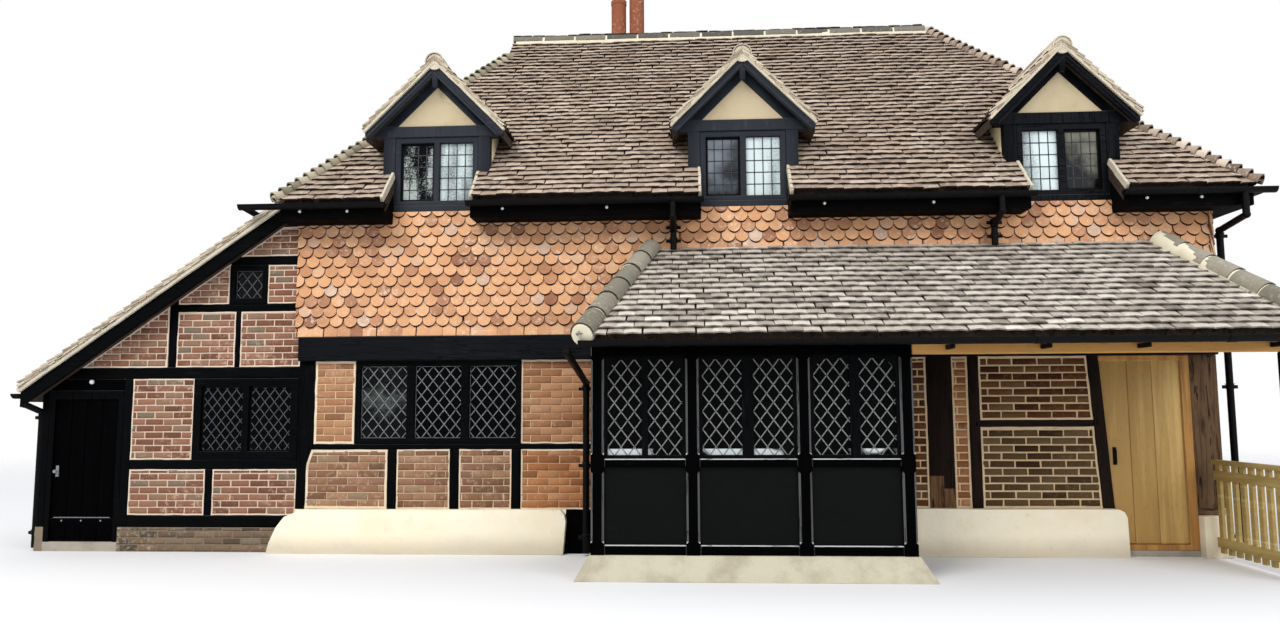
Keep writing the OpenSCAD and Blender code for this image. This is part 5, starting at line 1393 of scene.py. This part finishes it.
def brick_kind(centre, base):
    """Which brick a panel is built of: 0 red, 1 pale, 2 orange, 3 grey, 4 olive, 5 brown or 6 tan."""
    strip = (BAY_HIGH.x + 0.5, BAY_HIGH.x + 0.95)
    upper = centre.z > 1.1
    if base:
        return 3
    if centre.x < -HALF_X:
        return 1
    if centre.y > 0:
        return 0
    if strip[0] < centre.x < strip[1]:
        return 2
    if centre.x > BAY_HIGH.x:
        return 4 if centre.x > strip[1] and centre.z < 1.2 else 5
    if centre.x > BAY_LOW.x - 0.8:
        return 6 if upper else 2
    return 6 if upper and centre.x < -HALF_X + 0.6 else 0


def border_bead(bm, start, end, normal, out, width):
    """A flat bead of mortar along one side of a panel."""
    length = (end - start).length
    run = (end - start) / length
    place = (start + end) / 2 - normal * (width / 2 - 0.002)
    shaping = turned(run, out.cross(run), out) @ Matrix.Diagonal((length, width, 1, 1))
    add_copy(bm, BEAD, Matrix.Translation(place) @ shaping)


def bead_shape():
    """A bead of unit length and width, 9 mm proud, cut in short stretches so that it can waver."""
    proud, top_width, stretches = 0.009, 0.72, 14
    bm = box_of((1, 1, 2 * proud))
    for vert in bm.verts:
        if vert.co.z > 0:
            vert.co.y *= top_width
    for i in range(1, stretches):
        cut_across(bm, (i / stretches - 0.5, 0, 0), X)
    return shape_mesh(bm, "bead")


def chimney_bricks():
    """Bricks on all four faces of the stack and of its stepped cap, above the roof."""
    rng = random.Random(83)
    bond = (0.222, 0.0745)
    shapes = brick_set("stack_brick", 0.209, 0.06, rng)
    bm = new_field()
    top = STACK[1].z
    widest = 0.055
    stages = [(0.0, RIDGE_Z - 1.35, top - 0.12), (0.03, top - 0.12, top - 0.06), (widest, top - 0.06, top)]
    centre = Vector(((STACK[0].x + STACK[1].x) / 2, (STACK[0].y + STACK[1].y) / 2, 0))
    half_x = (STACK[1].x - STACK[0].x) / 2 - widest
    half_y = (STACK[1].y - STACK[0].y) / 2 - widest
    for out in (X, -X, Y, -Y):
        for grow, z0, z1 in stages:
            reach = (half_x if abs(out.x) else half_y) + grow
            half = (half_y if abs(out.x) else half_x) + grow
            foot = centre + out * reach + Z * z0
            slope = Slope(foot, Z.cross(out), Z)
            planes = [(foot + slope.along * (half - 0.003), slope.along),
                (foot - slope.along * (half - 0.003), -slope.along), (Z * (z1 - 0.003), Z)]
            lay_bricks(bm, slope, half, z1 - z0, planes, bond, shapes, rng)
    piece(bm, "stack_bricks", [RED_BRICK], angle=50)
    dress(POT_CLAY, "chimney_pots")
    pot_mortar()


def pot_mortar():
    """A cone of mortar round the foot of each chimney pot."""
    radius, height = 0.16, 0.06
    bm = new_field()
    for low, high in solids("chimney_pots"):
        middle = (low + high) / 2
        part = bmesh.new()
        bmesh.ops.create_cone(part, cap_ends=True, segments=24, radius1=radius, radius2=radius - 0.04,
            depth=height)
        bmesh.ops.translate(part, verts=part.verts, vec=(middle.x, middle.y, low.z + height / 2))
        waver(part, 0.006, 9.0)
        add_part(bm, part)
    piece(bm, "pot_flaunching", [BASE_MORTAR])


# Timber frame


def timber_kind(low, high):
    """0 black, 1 dark oak or 2 weathered oak, by where a timber stands."""
    centre = (low + high) / 2
    at_rear = centre.y > FRONT + 0.3
    at_beam = low.z > BEAM_TOP - 0.3
    if at_rear or at_beam or centre.x < BAY_HIGH.x:
        return 0
    return 2 if low.x > HALF_X - 0.3 else 1


def paint_kind(low, high):
    """0 black, or on the dormers 1 black lifted by a painted sky sheen and, on the right one, 2 blacker."""
    size = high - low
    if high.z < WALL_TOP + 0.5 or low.x < LEFT_EDGE:
        return 0
    side_board = size.y < 0.075 and size.z < 0.75 and low.z < WALL_TOP + 0.2
    if side_board:
        return 0
    return 2 if low.x > (DORMERS[1] + DORMERS[2]) / 2 else 1


def barge_beads(bm):
    """A bead along the lower part of every dormer's bargeboards."""
    foot_z = DORMER_RIDGE - DORMER_ROOF_HALF - 0.095
    y = VERGE_Y + 0.004
    for x in DORMERS:
        for side in (-1, 1):
            start = Vector((x + side * (DORMER_ROOF_HALF - 0.05), y, foot_z))
            end = Vector((x + side * 0.01, y, DORMER_RIDGE - 0.155))
            index = 2 if x == DORMERS[2] else 1
            bar(bm, start, end, 0.026, 0.02, Vector((side, 0, 1)), index=index)


def hewn_frame():
    """The frame's timbers with eased edges and faces that wander a little."""
    rng = random.Random(91)
    for node in ("front_posts", "front_rails", "back_posts", "back_rails", "outshot_posts",
            "outshot_rails", "bressummers", "end_beams"):
        first = BEAM_BLACK if node == "bressummers" else BLACK
        bm = worked(node, 0.009, step=0.3, amount=0.0045, scale=2.4, rng=rng, kind=timber_kind)
        piece(bm, node + "_hewn", [first, DARK_OAK, GREY_OAK], stands_for=(node,))
    for node, edge in (("dormer_frames", 0.008), ("bargeboards", 0.006), ("window_frames", 0.005),
            ("bay_windows", 0.004)):
        bm = worked(node, edge, rng=rng, kind=paint_kind)
        if node == "bargeboards":
            barge_beads(bm)
        piece(bm, node + "_eased", [BLACK, SHEEN_BLACK, BEAM_BLACK], stands_for=(node,))
    porch = {"edge": 0.007, "step": 0.4, "amount": 0.002, "scale": 2.0}
    eaves = {"edge": 0.005, "step": 0.6, "amount": 0.004, "scale": 1.4}
    for node, shaping, finish, slot in (
            ("eaves_boards", eaves, DEEP_BLACK, "black_timber"),
            ("outshot_door_frame", {"edge": 0.005}, BLACK, "black_timber"),
            ("porch_beam", porch, LIGHT_OAK, "light_oak"),
            ("oak_door_frame", porch, LIGHT_OAK, "light_oak"),
            ("side_rail", {"edge": 0.004}, RAIL_OAK, "light_oak")):
        piece(worked(node, rng=rng, **shaping), node + "_eased", [finish], stands_for=(node,))
    foot_repair()
    bm = worked("porch_post", 0.01, rng=rng)
    piece(bm, "porch_post_eased", [BLACK], stands_for=("porch_post",))
    pegs(rng)


def foot_repair():
    """Two pieces of newer oak let into the foot of the post beside the bay."""
    bm = new_field()
    low, high = next(box for box in solids("front_posts") if BAY_HIGH.x + 0.2 < box[0].x < BAY_HIGH.x + 1.0)
    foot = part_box("rendered_plinths")[1].z
    for start, end, top in ((0.0, 0.55, 0.33), (0.55, 1.0, 0.2)):
        left, right = (between(low.x, high.x, share) for share in (start, end))
        timber_box(bm, (left, low.y - 0.006, foot - 0.05), (right, low.y + 0.02, foot + top), run=Z)
    piece(bm, "post_foot_repair", [PATCH_OAK])


def inside(box, place, margin):
    """Whether a place lies in a box, leaving a margin inside each face."""
    return all(box[0][i] + margin < place[i] < box[1][i] - margin for i in range(3))


def peg_shape():
    bm = bmesh.new()
    bmesh.ops.create_cone(bm, cap_ends=True, segments=10, radius1=0.011, radius2=0.009, depth=0.014)
    return shape_mesh(bm, "peg")


def pegs(rng):
    """Oak pegs in the posts, two at each end of every rail of the front."""
    shape = peg_shape()
    turn = Matrix.Rotation(math.pi / 2, 4, "X")
    aside, uneven = 0.035, 0.008
    bm = new_field()
    posts = solids("front_posts") + solids("outshot_posts")
    for low, high in solids("front_rails") + solids("outshot_rails") + solids("bressummers"):
        if low.y > FRONT + 0.02 or high.x - low.x < 0.3:
            continue
        for x in (low.x - aside, high.x + aside):
            for share in (0.3, 0.7):
                place = Vector((x, low.y, between(low.z, high.z, share) + rng.uniform(-uneven, uneven)))
                if any(inside(box, place + Y * 0.02, 0.012) for box in posts):
                    add_copy(bm, shape, Matrix.Translation(place) @ turn, rng.random(), Y)
    piece(bm, "frame_pegs", [DEEP_BLACK])


def light_edges(bm):
    """Marks the front's chamfers: 1 a painted sheen where they face aside, 2 the palest painted highlight
    where they face up.
    """
    bm.normal_update()
    for face in bm.faces:
        n = face.normal
        if n.y < -0.5 and n.z > 0.5:
            face.material_index = 2
        elif n.y < -0.5 and abs(n.x) > 0.5:
            face.material_index = 1


def bay_frame():
    """The bay's posts with stopped chamfers, its rails and its plain panels."""
    rng = random.Random(97)
    # The second and third finishes are the painted sheen and the painted highlight.
    finishes = [LEAF_BLACK, SHEEN_EDGE, HIGHLIGHT_EDGE]
    sill = solids("bay_windows")[0][0].z
    stops = (BAY_LOW.z + 0.12, sill - 0.13, sill + 0.05, BAY_HIGH.z - 0.04)
    bm = new_field()
    for low, high in solids("bay_posts"):
        part = box_of(high - low, (low + high) / 2)
        for level in stops:
            cut_across(part, (0, 0, level), Z)
        if low.y < BAY_LOW.y + 0.1:
            ease(part, [edge for edge in part.edges if chamfered(edge, low.y, stops)], 0.018, clamp=True)
        light_edges(part)
        add_part(bm, part, rng.random())
    piece(bm, "bay_posts_chamfered", finishes, stands_for=("bay_posts",))
    bm = worked("bay_rails", 0.009, rng=rng)
    light_edges(bm)
    piece(bm, "bay_rails_eased", finishes, stands_for=("bay_rails",))
    bm = worked("bay_panels", 0.002, rng=rng)
    piece(bm, "bay_panels_painted", [PANEL_BLACK], stands_for=("bay_panels",))


def chamfered(edge, front, stops):
    """Whether an edge of a bay post stands at its front, between two of the stops."""
    one, two = (vert.co for vert in edge.verts)
    if abs(one.z - two.z) < 0.1 or one.y > front + 0.01:
        return False
    middle = (one.z + two.z) / 2
    return stops[0] < middle < stops[1] or stops[2] < middle < stops[3]


# Plinths and base


def plinths():
    """The rendered plinths, black next to and behind the bay, and the stone under the bay."""
    bm = worked("rendered_plinths", 0.028, segments=3, step=0.16, amount=0.0065, scale=2.6)
    for face in bm.faces:
        low, high = corners(face.verts)
        if BAY_LOW.x - 0.46 < low.x and high.x < BAY_HIGH.x - 0.2 and low.y > FRONT - 0.03:
            face.material_index = 1
    piece(bm, "rendered_plinths_trowelled", [PLINTH, LEAF_BLACK], angle=50,
        stands_for=("rendered_plinths",))
    bm = worked("bay_base", 0.012, segments=2, step=0.3, amount=0.003, scale=3.0)
    piece(bm, "bay_base_dressed", [BAY_STONE], angle=45, stands_for=("bay_base",))


# Windows

SMALL_PANE = 0.5
LEAD_PROUD = 0.007


def clipped(place, run, width, height):
    """The part of a line that lies in a rectangle from 0, 0, as two lengths along run, or None."""
    far, shortest = 10.0, 0.004
    start, end = -far, far
    for i, size in ((0, width), (1, height)):
        if abs(run[i]) < 1e-9:
            if not 0 < place[i] < size:
                return None
            continue
        a, b = sorted(((0 - place[i]) / run[i], (size - place[i]) / run[i]))
        start, end = max(start, a), min(end, b)
    return (start, end) if end - start > shortest else None


class Pane:
    """A pane of glass read from its box: where it starts, which way it runs and its outer side."""

    def __init__(self, low, high):
        size = high - low
        self.high = size.z
        self.thick = min(size.x, size.y)
        middle = (low + high) / 2
        if size.y < size.x:
            self.run = X
            self.out = Y * math.copysign(1, middle.y)
            self.start = Vector((low.x, middle.y, low.z))
            self.wide = size.x
        else:
            self.run = Y
            inner = BAY_LOW.x < middle.x < BAY_HIGH.x
            side = middle.x - (BAY_LOW.x + BAY_HIGH.x) / 2 if inner else middle.x
            self.out = X * math.copysign(1, side)
            self.start = Vector((middle.x, low.y, low.z))
            self.wide = size.y

    def at(self, across, up, lift=0.0):
        return self.start + self.run * across + Z * up + self.out * lift


def lead_line(bm, pane, place, run, width, index):
    """One lead across a pane, from edge to edge."""
    span = clipped(place, run, pane.wide, pane.high)
    if span:
        start, end = (pane.at(place[0] + run[0] * t, place[1] + run[1] * t) for t in span)
        bar(bm, start, end, width, pane.thick + LEAD_PROUD, pane.out, edge=0.0, index=index)


def diamonds(bm, pane, wide, high, width, index):
    """Lattice of leads, with whole quarries at the left edge of the pane."""
    length = math.hypot(wide, high)
    count = int(pane.wide / wide + pane.high / high) + 2
    for side in (-1, 1):
        run = (wide / length * side, high / length)
        for k in range(-count, count + 1):
            lead_line(bm, pane, (k * wide, high * 0.45), run, width, index)


def squares(bm, pane, across, up, width, index):
    """Upright and level leads that cut the pane into equal quarries."""
    for i in range(1, across):
        lead_line(bm, pane, (pane.wide * i / across, 0.1), (0, 1), width, index)
    for i in range(1, up):
        lead_line(bm, pane, (0.1, pane.high * i / up), (1, 0), width, index)


def glass_kind(low, high):
    """0 dark glass, 1 milky, 2 full of sky, 3 speckled, 4 the bay's, 5 grey or 6 shaded."""
    if low.z > WALL_TOP:
        middle = (low.x + high.x) / 2
        x = min(DORMERS, key=lambda place: abs(place - middle))
        casement_left = x < DORMERS[2]
        on_left = middle < x
        return (3, 5, 6)[DORMERS.index(x)] if casement_left == on_left else 2
    if low.y < FRONT - 0.1:
        return 4
    small = high.z - low.z < SMALL_PANE
    leftmost = -HALF_X < low.x < -HALF_X + 0.8
    return 1 if low.y < 0 and (small or leftmost) else 0


def glazing():
    """Leads over every pane, iron casements, and saddle bars behind the larger panes."""
    leads = new_field()
    casements = new_field()
    bars = new_field()
    for low, high in solids("window_glass"):
        pane = Pane(low, high)
        in_bay = low.y < FRONT - 0.1
        index = 0 if in_bay else 1 if low.x > -HALF_X else 3
        if low.z > WALL_TOP:
            index = 2
            squares(leads, pane, 4, 5, 0.01, index)
            if glass_kind(low, high) != 2:
                edge_frame(casements, pane, 0.024, 0.024, 0)
        elif high.z - low.z < SMALL_PANE:
            diamonds(leads, pane, 0.118, 0.15, 0.009, index)
        else:
            if in_bay:
                diamonds(leads, pane, *BAY_QUARRY[:2], 0.0095, index)
            elif index == 1:
                diamonds(leads, pane, pane.wide / 4, 0.156, 0.0085, index)
            else:
                diamonds(leads, pane, 0.107, 0.136, 0.0075, index)
            saddle_bars(bars, pane)
            if low.x < -HALF_X:
                edge_frame(casements, pane, 0.018, 0.022, 0)
        if not in_bay:
            edge_frame(leads, pane, 0.006, pane.thick + LEAD_PROUD, index)
    piece(leads, "window_leads", [LEAD, DULL_LEAD, DARK_LEAD, DIM_LEAD])
    piece(casements, "iron_casements", [IRON])
    piece(bars, "saddle_bars", [IRON])
    glass_panes()


def saddle_bars(bm, pane):
    """Level bars behind a pane, evenly spaced."""
    steps = int(pane.high / 0.235)
    for i in range(1, steps + 1):
        up = pane.high * i / (steps + 1)
        rod(bm, pane.at(0, up, -0.016), pane.at(pane.wide, up, -0.016), 0.004, 8)


def glass_panes():
    bm = merged_copy("window_glass")
    for group in islands(bm):
        set_kind(group, glass_kind(*corners(group)))
    panes = [DARK_GLASS, MILKY_GLASS, SKY_GLASS, SPECKLED_GLASS, BAY_GLASS, GREY_GLASS, SHADED_GLASS]
    piece(bm, "glass_panes", panes, stands_for=("window_glass",))


def edge_frame(bm, pane, width, depth, index):
    """A frame round the edge of a pane."""
    half = width / 2
    wide, high = pane.wide, pane.high
    for a, b in (((0, half), (wide, half)), ((0, high - half), (wide, high - half)),
            ((half, 0), (half, high)), ((wide - half, 0), (wide - half, high))):
        bar(bm, pane.at(*a), pane.at(*b), width, depth, pane.out, edge=0.0015, index=index)


# Doors


def boards_of(node, count, rng):
    """A door leaf cut into upright boards over a thinner core."""
    gap = 0.0025
    low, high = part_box(node)
    bm = new_field()
    shares = [0] + [(i + rng.uniform(-0.12, 0.12)) / count for i in range(1, count)] + [1]
    for i in range(count):
        part = merged_copy(node)
        if i:
            trim(part, Vector((between(low.x, high.x, shares[i]) + gap, 0, 0)), -X)
        if i < count - 1:
            trim(part, Vector((between(low.x, high.x, shares[i + 1]) - gap, 0, 0)), X)
        ease(part, sharp_edges(part), 0.004, 2)
        add_part(bm, part, rng.random())
    core = merged_copy(node)
    trim(core, Vector((0, low.y + 0.012, 0)), -Y)
    trim(core, Vector((0, high.y - 0.012, 0)), Y)
    add_part(bm, core, 0.1)
    return bm


def doors():
    rng = random.Random(101)
    oak_door(rng)
    outshot_door(rng)


def oak_door(rng):
    """The oak leaf: three boards, and three ledges behind that stop short of the hinges."""
    bm = boards_of("oak_door", 3, rng)
    low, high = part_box("oak_door")
    piece(bm, "oak_door_boards", [DOOR_OAK], "oak_door_leaf", stands_for=("oak_door",))
    bm = new_field()
    half = 0.06
    for share in (0.14, 0.5, 0.86):
        z = between(low.z, high.z, share)
        timber_box(bm, (low.x + 0.14, high.y - 0.004, z - half), (high.x - 0.08, high.y + 0.022, z + half),
            0.006)
    piece(bm, "oak_door_ledges", [DOOR_OAK], "oak_door_leaf")
    dress(IRON, "oak_door_handle")


def outshot_door(rng):
    """The black leaf: four boards, a weatherboard with a metal strip on top, and three bolt heads."""
    bm = boards_of("outshot_door", 4, rng)
    low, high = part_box("outshot_door")
    piece(bm, "outshot_door_boards", [LEAF_BLACK], "outshot_door_leaf",
        stands_for=("outshot_door",))
    bm = new_field()
    timber_box(bm, (low.x + 0.01, low.y - 0.012, low.z + 0.16), (high.x - 0.01, low.y + 0.004, low.z + 0.24),
        0.005)
    strip_z = low.z + 0.245
    timber_box(bm, (low.x + 0.05, low.y - 0.011, strip_z), (high.x - 0.05, low.y + 0.002, strip_z + 0.007),
        0.001, index=1)
    piece(bm, "outshot_door_weatherboard", [LEAF_BLACK, GREY_IRON], "outshot_door_leaf")
    bm = new_field()
    for share in (0.2, 0.5, 0.8):
        place = Vector((between(low.x, high.x, share), low.y + 0.004, strip_z - 0.03))
        rod(bm, place, place - Y * 0.021, 0.009, 10)
    piece(bm, "outshot_door_bolts", [GREY_IRON], "outshot_door_leaf")
    dress(GREY_IRON, "outshot_door_latch")


# Rainwater goods


def pipe_axis(group):
    """Centre, radius, foot and top of the straight lower length of a pipe."""
    low = corners(group)[0].z
    foot = [v.co for v in group if v.co.z < low + 0.12]
    centre = sum(foot, Vector()) / len(foot)
    radius = max((co - centre).xy.length for co in foot)
    stem = [v.co.z for v in group if (v.co - centre).xy.length < radius * 1.2]
    return centre, radius, low, max(stem)


def rainwater():
    """Collars on the pipes, unions on the gutters and brackets under the porch gutter."""
    bm = new_field()
    source = merged_copy("downpipes")
    for group in islands(source):
        reach = corners(group)
        if reach[1].z - reach[0].z > 0.3:
            pipe_collars(bm, *pipe_axis(group))
    source.free()
    source = merged_copy("gutters")
    for group in islands(source):
        gutter_unions(bm, *corners(group))
    source.free()
    low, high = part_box("porch_beam")
    half, foot, top = 0.018, 2.03, 2.072
    for share in (0.093, 0.342, 0.593, 0.932):
        x = between(low.x, high.x, share)
        timber_box(bm, (x - half, low.y - 0.19, foot), (x + half, low.y + 0.004, top), 0.006)
    piece(bm, "rainwater_fittings", [IRON])
    dress(IRON, "gutters", "downpipes")


def pipe_collars(bm, centre, radius, low, high):
    """Collars with ears near both ends of a pipe, and halfway up a tall one."""
    levels = [low + 0.09, low + 0.235] if high - low < 0.8 else [low + 0.16, high - 0.1]
    if high - low > 1.6:
        levels.append((low + high) / 2)
    for z in levels:
        place = Vector((centre.x, centre.y, z))
        rod(bm, place - Z * 0.022, place + Z * 0.022, radius + 0.007, 16)
        rod(bm, place + Z * 0.026, place + Z * 0.034, radius + 0.011, 16)
        for side in (-1, 1):
            ear = place + X * side * (radius + 0.022)
            timber_box(bm, ear - Vector((0.024, 0.004, 0.018)), ear + Vector((0.024, 0.006, 0.018)), 0.003)
            nail = ear + X * side * 0.008
            rod(bm, nail - Y * 0.012, nail + Y * 0.004, 0.007, 8)


def gutter_unions(bm, low, high):
    """Unions evenly along a gutter, one to each length of pipe."""
    size = high - low
    axis = 0 if size.x > size.y else 1
    if size[axis] < 0.6:
        return
    count = max(1, round(size[axis] / 1.83))
    for i in range(count):
        place = (low + high) / 2
        place.z = high.z
        place[axis] = low[axis] + size[axis] * (i + 0.5) / count
        half_band(bm, place, (X, Y)[axis], size[1 - axis] / 2 + 0.005, 0.07)


def half_band(bm, place, run, radius, width):
    """A half round union under a gutter."""
    part = bmesh.new()
    bmesh.ops.create_cone(part, cap_ends=False, segments=24, radius1=radius, radius2=radius, depth=width)
    bmesh.ops.transform(part, matrix=facing(run), verts=part.verts)
    cut_across(part, (0, 0, -0.004), Z, True)
    bmesh.ops.recalc_face_normals(part, faces=part.faces)
    bmesh.ops.solidify(part, geom=part.faces[:], thickness=0.007)
    bmesh.ops.translate(part, verts=part.verts, vec=place)
    add_part(bm, part)


def bolt_heads():
    """Rows of bolt heads along the eaves boards, and the knob over the outshot's door."""
    part = bmesh.new()
    bmesh.ops.create_uvsphere(part, u_segments=10, v_segments=6, radius=0.017)
    shape = shape_mesh(part, "bolt")
    bm = new_field()
    rng = random.Random(103)
    for low, high in solids("eaves_boards"):
        length = high.x - low.x
        if length < 0.6:
            continue
        y = low.y if low.y + high.y < 0 else high.y
        first, step = (0.22, 0.52) if length < 1.7 else (0.35, 1.1)
        x = low.x + first
        while x < high.x - 0.1:
            place = Vector((x, y, low.z + 0.09 + rng.uniform(-0.01, 0.01)))
            add_copy(bm, shape, Matrix.Translation(place))
            x += step + rng.uniform(-0.02, 0.02)
    low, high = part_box("outshot_door")
    knob = Vector((between(low.x, high.x, 0.57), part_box("outshot_rails")[0].y - 0.012, high.z + 0.18))
    add_copy(bm, shape, Matrix.Translation(knob) @ Matrix.Scale(1.5, 4))
    piece(bm, "fascia_bolts", [PALE_IRON])


# Dormer panels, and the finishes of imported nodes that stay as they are


def dress_the_rest():
    dress(BACKING, "front_roof", "rear_roof", "hip_roofs", "gablets", "dormer_roofs", "pent_roof",
        "pent_ends", "outshot_roof")
    dress(FLOOR_STONE, "ground_floor")
    dress(FLOOR_OAK, "upper_floor")


def dormer_panels():
    """The dormers' gable panels and cheeks, with soft edges and trowel marks."""
    bm = worked("dormer_panels", 0.004)
    for group in islands(bm):
        low, high = corners(group)
        set_kind(group, 1 if high.x - low.x < high.y - low.y else 0)
    piece(bm, "dormer_panels_rendered", [PANEL, CHEEK], stands_for=("dormer_panels",))


# Putting it together

BEAD = bead_shape()
main_roof_tiles()
dormer_tiles()
pent_tiles()
outshot_tiles()
ridges_and_hips()
hung_tiles()
fill_panels()
chimney_bricks()
hewn_frame()
bay_frame()
plinths()
glazing()
doors()
rainwater()
bolt_heads()
dress_the_rest()
dormer_panels()


# Camera, light and floor


def camera():
    """The camera stands where the photograph was taken from."""
    place = (-0.555, -12.2, 1.52)
    yaw, pitch, roll = math.radians(3.3), math.radians(5.6), math.radians(-0.25)
    level = Vector((-math.sin(yaw), math.cos(yaw), 0))
    side = Vector((math.cos(yaw), math.sin(yaw), 0))
    ahead = level * math.cos(pitch) + Z * math.sin(pitch)
    over = Z * math.cos(pitch) - level * math.sin(pitch)
    right = side * math.cos(roll) + over * math.sin(roll)
    up = over * math.cos(roll) - side * math.sin(roll)
    lens = bpy.data.cameras.new("photo_camera")
    lens.sensor_width = 36.0
    lens.lens = 25.3125
    lens.clip_end = 500.0
    made = add_object("photo_camera", lens)
    made.matrix_world = Matrix.Translation(place) @ turned(right, up, -ahead)
    bpy.context.scene.camera = made


def sky():
    """An overcast sky, brightest overhead, that the camera sees as plain white."""
    world = bpy.data.worlds.new("soft_sky")
    bpy.context.scene.world = world
    tree = Tree(world)
    height = tree.node("ShaderNodeTexCoord", output="Generated")
    height = tree.node("ShaderNodeSeparateXYZ", None, {0: height}, "Z")
    horizon, overhead = 0.42, 1.25
    values = {"Value": height, "From Min": 0.0, "From Max": 1.0, "To Min": horizon, "To Max": overhead}
    strength = tree.node("ShaderNodeMapRange", None, values)
    soft = tree.node("ShaderNodeBackground", None, {"Color": (0.92, 0.95, 1.0, 1), "Strength": strength})
    plain = tree.node("ShaderNodeBackground", None, {"Color": (1, 1, 1, 1), "Strength": 1.0})
    seen = tree.node("ShaderNodeLightPath", output="Is Camera Ray")
    both = tree.node("ShaderNodeMixShader", None, {0: seen, 1: soft, 2: plain})
    end = tree.nodes.new("ShaderNodeOutputWorld")
    tree.connect(end.inputs["Surface"], both)


def lamp(name, place, target, power, size, colour):
    """A broad lamp that shines from a place to a target."""
    light = bpy.data.lights.new(name, "AREA")
    light.energy = power
    light.size = size
    light.color = colour
    place = Vector(place)
    add_object(name, light).matrix_world = Matrix.Translation(place) @ facing(Vector(target) - place, "-Z")


def floor():
    """A pale floor that fades out far from the house."""
    bm = bmesh.new()
    bmesh.ops.create_grid(bm, x_segments=1, y_segments=1, size=60)
    mesh = mesh_of(bm, "pale_floor")
    pale = Finish("pale_floor", 0.9, specular=0.1)
    pale.feed("Base Color", (0.8, 0.8, 0.8, 1))
    reach = pale.node("ShaderNodeVectorMath", {"operation": "LENGTH"}, {0: pale.place}, "Value")
    solid = Wire(pale, pale.shader.outputs[0])
    clear = pale.node("ShaderNodeBsdfTransparent")
    fade = pale.node("ShaderNodeMixShader", None, {0: reach.ramp_up(9.0, 30.0), 1: solid, 2: clear})
    pale.connect(pale.end.inputs["Surface"], fade)
    mesh.materials.append(pale.material)
    made = add_object("pale_floor", mesh)


camera()
sky()
MIDDLE = (0, 0, 2.5)
lamp("key_light", (-9, -16, 16), MIDDLE, power=2600, size=9, colour=(1, 0.98, 0.95))
lamp("fill_light", (12, -14, 8), MIDDLE, power=900, size=9, colour=(0.95, 0.97, 1))
floor()
bpy.context.scene.view_settings.view_transform = "Standard"
